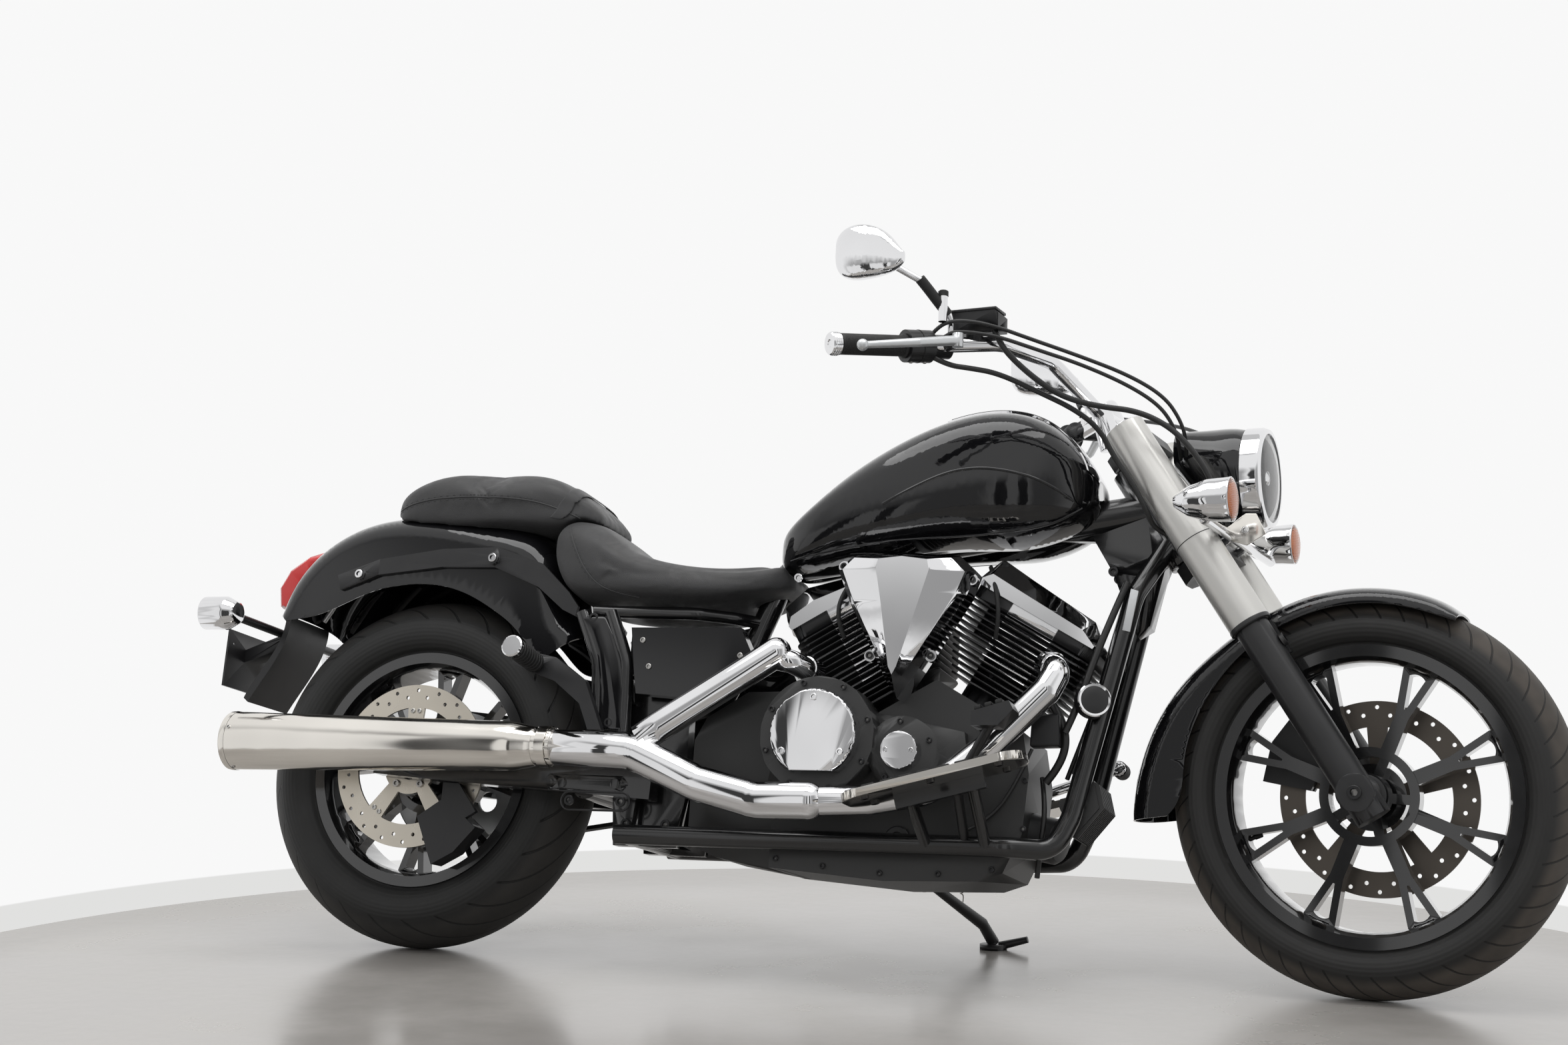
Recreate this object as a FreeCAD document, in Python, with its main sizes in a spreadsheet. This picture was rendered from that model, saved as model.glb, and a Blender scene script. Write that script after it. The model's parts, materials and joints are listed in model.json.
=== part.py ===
"""Cruiser motorcycle with a 60 degree V-twin, parked leaning on its side stand.

Every piece is drawn on the upright machine: +X forward, +Y to the rider's left, +Z up, in millimetres,
with the rear axle over the origin of the ground line. The ride pose then leans the machine onto its stand,
and the fork pose turns what steers, so that both tyres and the stand's foot meet the floor.
"""

import FreeCAD, Part
import Sketcher
import math
import os
import re

from FreeCAD import Placement, Rotation, Vector

X, Y, Z = Vector(1, 0, 0), Vector(0, 1, 0), Vector(0, 0, 1)
ORIGIN = Vector(0, 0, 0)
RIGHT, LEFT = -1, 1

# Driving sizes, in millimetres and degrees
SIZES = (
    ("wheelbase", 1685, "rear axle to front axle"),
    ("rake", 32, "steering axis from the vertical, degrees"),
    ("trail", 145, "front contact behind the steering axis"),
    ("lean", 12, "lean onto the side stand, degrees"),
    ("steer", -9, "steering turned from straight, left positive, degrees"),
    ("front_tyre_radius", 319.5, "130/70-18 tyre"),
    ("front_tyre_width", 130, "front tyre, side to side"),
    ("front_crown_radius", 68, "roundness of the front tread"),
    ("front_bead_radius", 228, "18 inch bead seat"),
    ("front_rim_half", 50, "front rim, half its outer width"),
    ("rear_tyre_radius", 322, "170/70-16 tyre"),
    ("rear_tyre_width", 170, "rear tyre, side to side"),
    ("rear_crown_radius", 92, "roundness of the rear tread"),
    ("rear_bead_radius", 203, "16 inch bead seat"),
    ("rear_rim_half", 63, "rear rim, half its outer width"),
    ("flange_height", 13, "rim flange above the bead seat"),
    ("flange_wall", 5, "rim flange thickness"),
    ("rim_wall", 14, "rim barrel, bead seat to inner face"),
    ("spoke_half_depth", 17, "cast spoke, half its depth across the wheel"),
    ("hub_ring_radius", 79, "outer radius of the ring the spokes spring from"),
    ("hub_ring_wall", 15, "ring the spokes spring from, radially"),
    ("hub_radius", 30, "hub barrel"),
    ("axle_radius", 10, "wheel axles"),
    ("running_clearance", 0.05, "shaft in a hole, radially"),
    ("seat_clearance", 0.3, "between soft or separate pieces that rest on each other"),
    ("front_disc_radius", 160, "front brake disc"),
    ("rear_disc_radius", 149, "rear brake disc"),
    ("disc_band", 42, "braking band, radially"),
    ("disc_thickness", 5, "brake discs"),
    ("front_disc_side", 64, "front disc's middle, left of the centre"),
    ("rear_disc_side", 94.5, "rear disc's middle, right of the centre"),
    ("pulley_radius", 125, "rear belt pulley"),
    ("front_pulley_radius", 46, "engine's belt pulley"),
    ("belt_side", 103, "belt's middle, left of the centre"),
    ("belt_width", 24, "drive belt"),
    ("belt_thickness", 7, "drive belt"),
    ("leg_side", 109, "fork leg from the centre"),
    ("slider_radius", 28.5, "lower fork leg"),
    ("sleeve_radius", 35, "upper fork cover tube"),
    ("sleeve_wall", 3.5, "upper fork cover tube"),
    ("sleeve_start", 313, "cover tube's lower end, along the leg from the axle"),
    ("lower_clamp", 484, "top of the lower fork clamp, along the leg"),
    ("upper_clamp", 690, "bottom of the upper fork clamp, along the leg"),
    ("fork_top", 716, "top of the cover tubes, along the leg"),
    ("stem_radius", 18, "steering stem"),
    ("head_tube_radius", 31, "steering head"),
    ("bar_radius", 12.7, "one inch handlebar"),
    ("grip_radius", 17, "handlebar grip"),
    ("headlight_radius", 86, "headlight ring"),
    ("tube_radius", 17, "frame's cradle tubes"),
    ("backbone_radius", 30, "frame's backbone"),
    ("rail_side", 128, "cradle tube from the centre"),
    ("rail_height", 207, "cradle tube above the ground"),
    ("crank_x", 983, "crankshaft ahead of the rear axle"),
    ("crank_z", 340, "crankshaft above the ground"),
    ("bank_angle", 30, "each cylinder from the vertical, degrees"),
    ("case_half", 103, "crankcase, half its width"),
    ("deck", 128, "cylinder foot from the crankshaft"),
    ("fin_count", 16, "cooling fins on the rear cylinder"),
    ("front_fin_count", 13, "cooling fins on the front cylinder"),
    ("front_bank_shift", 10, "front cylinder set forward across its fins"),
    ("fin_pitch", 10.5, "from fin to fin"),
    ("fin_thickness", 3.4, "cooling fin"),
    ("bore_sleeve_radius", 62, "finned cylinder's body"),
    ("fin_length_top", 124, "longest fin, half, fore and aft"),
    ("fin_length_low", 80, "lowest fin, half, fore and aft"),
    ("fin_side", 86, "fins, half, across the machine"),
    ("cap_height", 50, "chrome head cover"),
    ("muffler_side", 201, "muffler from the centre"),
    ("muffler_height", 346, "muffler above the ground"),
    ("muffler_radius", 53, "muffler at its tail"),
    ("muffler_front_radius", 43, "muffler at its front"),
    ("pipe_radius", 24, "exhaust pipe"),
    ("shield_radius", 31, "exhaust heat shield"),
    ("swingarm_pivot_x", 455, "swingarm pivot ahead of the rear axle"),
    ("swingarm_pivot_z", 292, "swingarm pivot above the ground"),
    ("arm_wall", 38, "swingarm's arms, across the machine"),
    ("arm_height", 58, "swingarm's arms"),
    ("right_arm_side", 120, "right arm's middle from the centre"),
    ("left_arm_side", 140, "left arm's middle from the centre"),
    ("front_fender_half", 73.5, "front fender, half its width"),
    ("rear_fender_half", 108, "rear fender, half its width"),
    ("fender_wall", 3, "fenders"),
    ("tank_half", 162, "fuel tank, half its width"),
    ("seat_half", 158, "rider's seat, half its width"),
    ("pillion_half", 112, "passenger pad, half its width"),
    ("board_length", 300, "floorboard"),
    ("board_width", 104, "floorboard"),
    ("board_side", 268, "floorboard's middle from the centre"),
    ("stand_pivot_x", 905, "side stand pivot ahead of the rear axle"),
    ("stand_pivot_z", 176, "side stand pivot above the ground"),
    ("stand_pivot_side", 166, "side stand pivot left of the centre"),
    ("foot_radius", 25, "side stand's foot"),
    ("plate_hole_radius", 3.5, "number plate holes"),
    ("plate_hole_spacing", 120, "number plate holes, side to side"),
)
ALIASES = {alias for alias, _, _ in SIZES}

DOC = FreeCAD.newDocument("Cruiser")
SHEET = DOC.addObject("Spreadsheet::Sheet", "Sizes")
NODES = {}


def fill_sheet():
    """Writes each driving size into its own cell, with its alias and a note beside it."""
    for row, (alias, value, note) in enumerate(SIZES, start=1):
        SHEET.set(f"A{row}", note)
        SHEET.set(f"B{row}", str(value))
        SHEET.setAlias(f"B{row}", alias)
    DOC.recompute()


class Read:
    """Gives a driving size by its alias."""

    def __getattr__(self, alias):
        return float(getattr(SHEET, alias))


s = Read()
fill_sheet()


def bound(expression):
    """The expression as another object has to write it, with the sheet's name before each alias."""
    return re.sub(
        r"[a-z][a-z_]*", lambda m: "Sizes." + m.group() if m.group() in ALIASES else m.group(), str(expression)
    )


def value(expression):
    """The expression's value now."""
    return float(SHEET.evalExpression(bound(expression).replace("Sizes.", "")))


# Places that several pieces share


def polar(centre_x, centre_z, radius, degrees, side=0.0):
    """A point at an angle round a centre, seen from the right side, 0 forward and 90 up."""
    angle = math.radians(degrees)
    return Vector(centre_x + radius * math.cos(angle), side, centre_z + radius * math.sin(angle))


def fork_frame():
    """The fork legs' own frame on the upright machine: origin on the front axle, Z up along the legs."""
    return Placement(Vector(s.wheelbase, 0, s.front_tyre_radius), Rotation(Y, -s.rake))


def steering_axis():
    """A point of the steering axis on the ground line, and the axis's direction, upwards."""
    angle = math.radians(s.rake)
    return Vector(s.wheelbase + s.trail, 0, 0), Vector(-math.sin(angle), 0, math.cos(angle))


def fork_offset():
    """How far the axle lies ahead of the steering axis."""
    point, direction = steering_axis()
    reach = point - Vector(s.wheelbase, 0, s.front_tyre_radius)
    return reach.cross(direction).Length


def steered():
    """The turn of the steering, on the upright machine."""
    point, direction = steering_axis()
    turn = Rotation(direction, s.steer)
    return Placement(point - turn.multVec(point), turn)


def lowest(pose, centre, ring, crown):
    """The lowest point of a tyre with a round crown, whose axle lies along Y before the pose."""
    tilt = pose.Rotation.multVec(Y).z
    return pose.multVec(centre).z - ring * math.sqrt(1 - tilt * tilt) - crown


def ride_pose():
    """The lean onto the stand, with the small pitch and lift that put both tyres on the floor."""
    rear = Vector(0, 0, s.rear_tyre_radius)
    front = Vector(s.wheelbase, 0, s.front_tyre_radius)
    pitch = 0.0
    for _ in range(6):
        pose = Placement(ORIGIN, Rotation(Y, pitch) * Rotation(X, -s.lean))
        low_rear = lowest(pose, rear, s.rear_tyre_radius - s.rear_crown_radius, s.rear_crown_radius)
        low_front = lowest(
            pose * steered(), front, s.front_tyre_radius - s.front_crown_radius, s.front_crown_radius
        )
        pitch += math.degrees(math.atan2(low_front - low_rear, s.wheelbase))
    return Placement(Vector(0, 0, -low_rear), pose.Rotation)


CHASSIS = ride_pose()
FORK = CHASSIS * steered()
POSES = {"chassis": CHASSIS, "fork": FORK}


# Ways of making pieces


def keep(name, thing, pose="chassis", place=None):
    """Names a finished sub-part and notes the pose that carries it and its place on the upright machine."""
    thing.Label = name
    NODES[name] = (thing, pose, place or Placement())
    return thing


def solid(shape):
    """A clean shape with one closed solid, or a compound of the closed solids it holds."""
    found = [one.removeSplitter() for one in shape.Solids]
    return found[0] if len(found) == 1 else Part.makeCompound(found)


def feature(name, shape, pose="chassis", place=None):
    """A sub-part whose shape is built from the sheet's sizes by this script."""
    thing = DOC.addObject("Part::Feature", name)
    thing.Shape = solid(shape)
    return keep(name, thing, pose, place)


def both_sides(shape):
    """A shape and its mirror image on the other side."""
    return Part.makeCompound([shape, shape.mirror(ORIGIN, Y)])


def new_body(name):
    """An empty body."""
    body = DOC.addObject("PartDesign::Body", name)
    body.AllowCompound = True
    return body


def plane(body, role):
    """One of the body's own origin planes or axes."""
    return next(item for item in body.Origin.OriginFeatures if item.Role == role)


def arc_through(a, middle, b):
    """An anticlockwise arc through three points, and whether it starts at the first of them."""
    curve = Part.Arc(a, middle, b).toShape().Curve
    centre = curve.Center

    def angle(point):
        return math.atan2(point.y - centre.y, point.x - centre.x)

    sweep = (angle(b) - angle(a)) % (2 * math.pi)
    forwards = (angle(middle) - angle(a)) % (2 * math.pi) < sweep
    start = angle(a) if forwards else angle(b)
    if not forwards:
        sweep = 2 * math.pi - sweep
    return Part.ArcOfCircle(Part.Circle(centre, Z, curve.Radius), start, start + sweep), forwards


def draw(sketch, corners):
    """Draws one closed outline bound to the sheet. A corner with a third item lies on an arc of that radius."""
    points = [(Vector(value(c[0]), value(c[1]), 0), c[2] if len(c) > 2 else None) for c in corners]
    ends_of_edges = [i for i, (_, radius) in enumerate(points) if radius is None]
    first = None
    previous = None
    for number, start in enumerate(ends_of_edges):
        end = ends_of_edges[(number + 1) % len(ends_of_edges)]
        middle, radius = points[(start + 1) % len(points)]
        a, b = points[start][0], points[end][0]
        edge, forwards = (Part.LineSegment(a, b), True) if radius is None else arc_through(a, middle, b)
        index = sketch.addGeometry(edge, False)
        begins, ends = (1, 2) if forwards else (2, 1)
        if radius is not None:
            size = value(radius) if radius else edge.Radius
            rule = sketch.addConstraint(Sketcher.Constraint("Radius", index, size))
            if radius:
                sketch.setExpression(f"Constraints[{rule}]", bound(radius))
        for axis, text in (("DistanceX", corners[start][0]), ("DistanceY", corners[start][1])):
            rule = sketch.addConstraint(
                Sketcher.Constraint(axis, -1, 1, index, begins, value(text))
            )
            sketch.setExpression(f"Constraints[{rule}]", bound(text))
        if previous:
            sketch.addConstraint(Sketcher.Constraint("Coincident", previous[0], previous[1], index, begins))
        else:
            first = (index, begins)
        previous = (index, ends)
    sketch.addConstraint(Sketcher.Constraint("Coincident", previous[0], previous[1], first[0], first[1]))


def draw_circle(sketch, across, up, radius):
    """Draws one circle whose place and radius are bound to the sheet."""
    index = sketch.addGeometry(Part.Circle(Vector(value(across), value(up), 0), Z, value(radius)), False)
    for axis, text in (("DistanceX", across), ("DistanceY", up)):
        rule = sketch.addConstraint(Sketcher.Constraint(axis, -1, 1, index, 3, value(text)))
        sketch.setExpression(f"Constraints[{rule}]", bound(text))
    rule = sketch.addConstraint(Sketcher.Constraint("Radius", index, value(radius)))
    sketch.setExpression(f"Constraints[{rule}]", bound(radius))


def new_sketch(body, role, offset=0):
    """An empty sketch on one of the body's origin planes, moved along its normal."""
    sketch = body.newObject("Sketcher::SketchObject", "Sketch")
    sketch.AttachmentSupport = [(plane(body, role), "")]
    sketch.MapMode = "FlatFace"
    sketch.setExpression("AttachmentOffset.Base.z", bound(offset))
    return sketch


def turned(body, corners, axis="V_Axis", cut=False):
    """Turns an outline in the body's XY plane about the sketch's own axis."""
    sketch = new_sketch(body, "XY_Plane")
    draw(sketch, corners)
    made = body.newObject("PartDesign::Groove" if cut else "PartDesign::Revolution", "Turn")
    made.Profile = sketch
    made.ReferenceAxis = (sketch, [axis])
    made.Angle = 360
    DOC.recompute()
    return made


def padded(body, outlines, depth, role="XZ_Plane", offset=0, middle=True, circles=()):
    """Pads outlines and circles to a depth, about their plane or away from it along its normal."""
    sketch = new_sketch(body, role, offset)
    for corners in outlines:
        draw(sketch, corners)
    for circle in circles:
        draw_circle(sketch, *circle)
    made = body.newObject("PartDesign::Pad", "Pad")
    made.Profile = sketch
    made.setExpression("Length", bound(depth))
    made.Midplane = middle
    DOC.recompute()
    return made


def pocketed(body, circles, role="XZ_Plane", outlines=()):
    """Cuts circles and outlines right through, both ways from their plane."""
    sketch = new_sketch(body, role)
    for circle in circles:
        draw_circle(sketch, *circle)
    for corners in outlines:
        draw(sketch, corners)
    made = body.newObject("PartDesign::Pocket", "Pocket")
    made.Profile = sketch
    made.Type = "ThroughAll"
    made.Midplane = True
    DOC.recompute()
    return made


def repeated(body, feature_made, count, role="Y_Axis"):
    """Repeats a feature evenly round one of the body's origin axes."""
    made = body.newObject("PartDesign::PolarPattern", "Round")
    made.Originals = [feature_made]
    made.Axis = (plane(body, role), [""])
    made.Angle = 360
    made.Occurrences = count
    body.Tip = made
    DOC.recompute()
    return made


def route(points, bend):
    """A wire of straight runs joined by tangent arcs of one bend radius, or less where a run is short."""
    edges = []
    start = points[0]
    for i in range(1, len(points) - 1):
        corner = points[i]
        back = points[i - 1] - corner
        ahead = points[i + 1] - corner
        turn = math.pi - back.getAngle(ahead)
        reach = bend * math.tan(turn / 2)
        room = 0.48 * min(back.Length, ahead.Length)
        reach = min(reach, room)
        first = corner + back.normalize() * reach
        last = corner + ahead.normalize() * reach
        toward = (first + last) * 0.5 - corner
        radius = reach / math.tan(turn / 2)
        middle = corner + toward.normalize() * (radius / math.cos(turn / 2) - radius)
        if (first - start).Length > 1e-6:
            edges.append(Part.LineSegment(start, first).toShape())
        edges.append(Part.Arc(first, middle, last).toShape())
        start = last
    edges.append(Part.LineSegment(start, points[-1]).toShape())
    return Part.Wire(edges)


def tube(points, radius, bend=60.0, bore=0.0):
    """A round tube along bent runs, solid unless it has a bore."""
    path = route([Vector(*p) for p in points], bend)
    start = path.Edges[0].valueAt(path.Edges[0].FirstParameter)
    along = path.Edges[0].tangentAt(path.Edges[0].FirstParameter)

    def swept(size):
        ring = Part.Wire(Part.Circle(start, along, size).toShape())
        return path.makePipeShell([ring], True, True)

    made = swept(radius)
    return made.cut(swept(bore)) if bore else made


def rod(start, end, radius, end_radius=None):
    """A straight round bar or cone between two points."""
    a, b = Vector(*start), Vector(*end)
    if end_radius is None:
        return Part.makeCylinder(radius, (b - a).Length, a, b - a)
    return Part.makeCone(radius, end_radius, (b - a).Length, a, b - a)


def slab(points, low_y, high_y):
    """A side-view outline, given as X and Z, made as thick as the span in Y."""
    wire = Part.makePolygon([Vector(x, low_y, z) for x, z in points] + [Vector(points[0][0], low_y, points[0][1])])
    return Part.Face(wire).extrude(Vector(0, high_y - low_y, 0))


def curved_slab(lines, low_y, high_y):
    """As slab, but each list of points is one smooth stretch, and a pair is a straight one."""
    edges = []
    for line in lines:
        points = [Vector(x, low_y, z) for x, z in line]
        if len(points) == 2:
            edges.append(Part.LineSegment(points[0], points[1]).toShape())
        else:
            curve = Part.BSplineCurve()
            curve.interpolate(points)
            edges.append(curve.toShape())
    return Part.Face(Part.Wire(edges)).extrude(Vector(0, high_y - low_y, 0))


def loft(sections, closed=True):
    """A smooth body through closed sections."""
    return Part.makeLoft(sections, closed, False)


def ring_section(x, half, low, high, shoulder, square=0.5, count=16):
    """A closed, smooth, upright section at X: half its width, its foot, its crest and the height of its widest."""
    points = []
    for i in range(count):
        angle = 2 * math.pi * i / count
        across, up = math.cos(angle), math.sin(angle)
        reach = abs(across) ** square * (1 if across >= 0 else -1)
        rise = abs(up) ** square * (1 if up >= 0 else -1)
        height = high - shoulder if up >= 0 else shoulder - low
        points.append(Vector(x, half * reach, shoulder + height * rise))
    curve = Part.BSplineCurve()
    curve.interpolate(Points=points, PeriodicFlag=True)
    return Part.Wire(curve.toShape())


# Wheels: each drawn about its axle, with the sketch's X as radius and its Y across the machine


def axle_place(end):
    """Where a wheel's own origin sits on the upright machine."""
    across = s.wheelbase if end == "front" else 0
    return Placement(Vector(across, 0, getattr(s, f"{end}_tyre_radius")), Rotation())


def make_tyre(end, pose):
    """A round-crowned tyre, open towards its rim."""
    body = new_body(f"{end}_tyre")
    outer, half, bead = f"{end}_tyre_radius", f"({end}_rim_half-flange_wall-0.1)", f"({end}_bead_radius+0.1)"
    crown, wide = f"{end}_crown_radius", f"{end}_tyre_width/2"
    shoulder, edge = f"{outer}-0.428*{crown}", f"0.82*{crown}"
    lip, bulge = f"{bead}+flange_height+3", f"{bead}+0.62*({outer}-{bead})-14"
    turned(
        body,
        [
            (bead, half),
            (lip, half),
            (bulge, wide, ""),
            (shoulder, edge),
            (outer, "0", crown),
            (shoulder, f"-{edge}"),
            (bulge, f"-{wide}", ""),
            (lip, f"-{half}"),
            (bead, f"-{half}"),
            (bead, f"12-{half}"),
            (bulge, f"8-{wide}"),
            (f"{shoulder}-9", f"6-{edge}"),
            (f"{outer}-10", "-12"),
            (f"{outer}-10", "12"),
            (f"{shoulder}-9", f"{edge}-6"),
            (bulge, f"{wide}-8"),
            (bead, f"{half}-12"),
        ],
    )
    return keep(f"{end}_tyre", body, pose, axle_place(end))


def make_rim(end, pose, hub_left, hub_right):
    """A cast wheel: rim, eight forked spokes, the ring they spring from, a star of ribs and the hub."""
    body = new_body(f"{end}_rim")
    bead, half = f"{end}_bead_radius", f"{end}_rim_half"
    turned(
        body,
        [
            (f"{bead}+flange_height", half),
            (f"{bead}+flange_height", f"{half}-flange_wall"),
            (bead, f"{half}-flange_wall"),
            (bead, f"flange_wall-{half}"),
            (f"{bead}+flange_height", f"flange_wall-{half}"),
            (f"{bead}+flange_height", f"-{half}"),
            (f"{bead}-6", f"-{half}"),
            (f"{bead}-rim_wall", f"22-{half}"),
            (f"{bead}-rim_wall", f"{half}-22"),
            (f"{bead}-6", half),
        ],
    )
    inner = f"({bead}-rim_wall)"
    spoke = [
        ("-11.5", "hub_ring_radius-6"),
        ("11.5", "hub_ring_radius-6"),
        ("11", f"{inner}-76"),
        ("28", f"{inner}+5"),
        ("-28", f"{inner}+5"),
        ("-11", f"{inner}-76"),
    ]
    fork_gap = [
        ("-1.5", f"{inner}-64"),
        ("1.5", f"{inner}-64"),
        ("13", f"{inner}-10"),
        ("0", f"{inner}-5", ""),
        ("-13", f"{inner}-10"),
    ]
    repeated(body, padded(body, [spoke, fork_gap], "2*spoke_half_depth"), 8)
    ring = [("0", "0", "hub_ring_radius"), ("0", "0", "hub_ring_radius-hub_ring_wall")]
    padded(body, [], "2*spoke_half_depth+6", circles=ring)
    rib = [
        ("-8", "hub_radius-4"),
        ("8", "hub_radius-4"),
        ("8", "hub_ring_radius-hub_ring_wall+4"),
        ("-8", "hub_ring_radius-hub_ring_wall+4"),
    ]
    repeated(body, padded(body, [rib], "2*spoke_half_depth-6"), 5)
    turned(
        body,
        [
            ("axle_radius+running_clearance", hub_left[0]),
            (hub_left[1], hub_left[0]),
            (hub_left[1], "spoke_half_depth-6"),
            ("hub_radius", "spoke_half_depth-6"),
            ("hub_radius", "6-spoke_half_depth"),
            (hub_right[1], "6-spoke_half_depth"),
            (hub_right[1], f"-{hub_right[0]}"),
            ("axle_radius+running_clearance", f"-{hub_right[0]}"),
        ],
    )
    turn = Placement(ORIGIN, Rotation(Y, 22.5 if end == "front" else 6))
    return keep(f"{end}_rim", body, pose, axle_place(end) * turn)


def make_disc(name, end, pose, radius, side, sign, bore):
    """A drilled brake disc on five arms, at its distance to one side."""
    body = new_body(name)
    offset = f"{sign}{side}"
    centre = [("0", "0", "52"), ("0", "0", bore)]
    padded(body, [], "disc_thickness", offset=offset, circles=centre)
    arm = [
        ("-11", f"{bore}+6"),
        ("11", f"{bore}+6"),
        ("17", f"{radius}-disc_band+3"),
        ("-17", f"{radius}-disc_band+3"),
    ]
    repeated(body, padded(body, [arm], "disc_thickness", offset=offset), 5)
    band = [("0", "0", radius), ("0", "0", f"{radius}-disc_band")]
    padded(body, [], "disc_thickness", offset=offset, circles=band)
    holes = [("0", f"{radius}-10", "3.5"), (f"0.13*{radius}", f"{radius}-24", "3.5")]
    repeated(body, pocketed(body, holes), 20)
    return keep(name, body, pose, axle_place(end))


def make_wheels():
    """Both wheels with their tyres, discs and the driven pulley."""
    make_tyre("front", "fork")
    make_tyre("rear", "chassis")
    make_rim("front", "fork", ("(front_disc_side-disc_thickness/2-0.1)", "54"), ("52", "hub_radius+6"))
    make_rim("rear", "chassis", ("(belt_side-belt_width/2-5)", "68"), ("(rear_disc_side-disc_thickness/2-0.1)", "54"))
    make_disc("front_disc", "front", "fork", "front_disc_radius", "front_disc_side", "-", "26")
    make_disc("rear_disc", "rear", "chassis", "rear_disc_radius", "rear_disc_side", "", "26")
    body = new_body("rear_pulley")
    low, high = "(belt_side-belt_width/2-4.9)", "(belt_side+belt_width/2+2)"
    rim_low, edge = "(belt_side-belt_width/2-2.5)", "(pulley_radius+4)"
    turned(
        body,
        [
            ("28", low),
            (edge, low),
            (edge, rim_low),
            ("pulley_radius", rim_low),
            ("pulley_radius", f"{high}-2"),
            (edge, f"{high}-2"),
            (edge, high),
            ("pulley_radius-9", high),
            ("pulley_radius-9", f"{low}+8"),
            ("28", f"{low}+8"),
        ],
    )
    opening = [("0", "82", "19")]
    repeated(body, pocketed(body, opening), 6)
    keep("rear_pulley", body, "chassis", axle_place("rear"))


# Frame and what it carries


def leg_point(along, side=0.0, ahead=0.0):
    """A point in the fork legs' frame, as a place on the upright machine."""
    return fork_frame().multVec(Vector(ahead, side, along))


def steering_point(along, side=0.0):
    """A point on, or beside, the steering axis, at a height along the legs."""
    return leg_point(along, side, -fork_offset())


SEAT_TUBE = ((720, 0, 716), (672, 0, 706), (612, 0, 560), (560, 0, 462), (500, 0, 440))


BOARD_THICK = 13


def board_place():
    """The left floorboard's place: the middle of its upper face, nose up by 15 degrees."""
    lean, middle = math.radians(15), s.board_length / 2
    spot = Vector(884 + middle * math.cos(lean), s.board_side + 7, 263 + middle * math.sin(lean))
    return Placement(spot, Rotation(Y, -15))


def board_brackets():
    """Two arms and a rib that carry a floorboard, to be welded to the cradle."""
    room = Part.makeBox(400, 300, 200, Vector(-200, -150, -BOARD_THICK - 0.1))
    rib = Part.makeBox(150, 14, 22, Vector(-75, -30, -BOARD_THICK - 22.1))
    for shape in (room, rib):
        shape.Placement = board_place()
    inner = s.board_side - s.board_width / 2 + 31
    arms = [rod((x, s.rail_side + 6, s.rail_height), (x, inner, z), 10) for x, z in ((985, 268), (1085, 295))]
    return [rib.multiFuse(arms).cut(room)]


def make_frame():
    """Steering head, backbone, cradle tubes, seat rails, rear pillars and pivot plates, all one weldment."""
    head = rod(steering_point(490), steering_point(684), s.head_tube_radius)
    backbone = rod(steering_point(600), (700, 0, 715), s.backbone_radius)
    seat_tube = tube(SEAT_TUBE, 21, 60)
    sides = []
    r, side, low = s.tube_radius, s.rail_side, s.rail_height
    cradle = [
        (1355, 14, 738),
        (1306, 60, 640),
        (1214, 82, 262),
        (1188, 92, low),
        (1122, side, low),
        (430, side, low),
    ]
    sides.append(tube(cradle, r, 70))
    sides.append(tube([(628, 0, 606), (600, 60, 602), (540, 104, 602), (352, 126, 602)], 11, 40))
    for low_end, high_end in (((378, 384), (330, 600)), ((428, 384), (386, 600))):
        bow = ((low_end[0] + high_end[0]) / 2 + 16, 510)
        points = [(low_end[0], 128.5, low_end[1]), (bow[0], 128.5, bow[1]), (high_end[0], 128.5, high_end[1])]
        sides.append(tube(points, 12.4, 90))
    sides.append(slab([(338, 588), (380, 588), (412, 500), (424, 388), (384, 388), (370, 500)], 121, 135))
    sides.append(slab([(382, 440), (430, 440), (422, 484), (374, 484)], 60, 122))
    sides += [rod((x, side, low), (x, s.case_half + 0.3, low), 10) for x in (730, 1070)]
    plate = [(408, 192), (522, 192), (536, 300), (534, 430), (484, 500), (376, 488), (388, 420), (398, 300)]
    sides.append(slab(plate, 58, 86))
    sides += board_brackets()
    side_shapes = both_sides(Part.makeCompound(sides))
    cross_low = rod((450, -side, low), (450, side, low), r)
    cross_high = rod((470, -60, 462), (470, 60, 462), 18)
    neck = slab([(1330, 820), (1150, 782), (1150, 752), (1366, 742)], -7, 7)
    casting = slab([(1330, 790), (1226, 752), (1262, 690), (1304, 582), (1328, 596), (1362, 738)], -26, 26)
    parts = [backbone, seat_tube, cross_low, cross_high, neck, casting] + side_shapes.Solids
    shape = head.multiFuse(parts)
    bore = rod(steering_point(470), steering_point(700), s.stem_radius + s.running_clearance)
    pivot = rod((s.swingarm_pivot_x, -120, s.swingarm_pivot_z), (s.swingarm_pivot_x, 120, s.swingarm_pivot_z), 12.05)
    feature("frame", shape.cut(Part.makeCompound([bore, pivot])))


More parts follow.
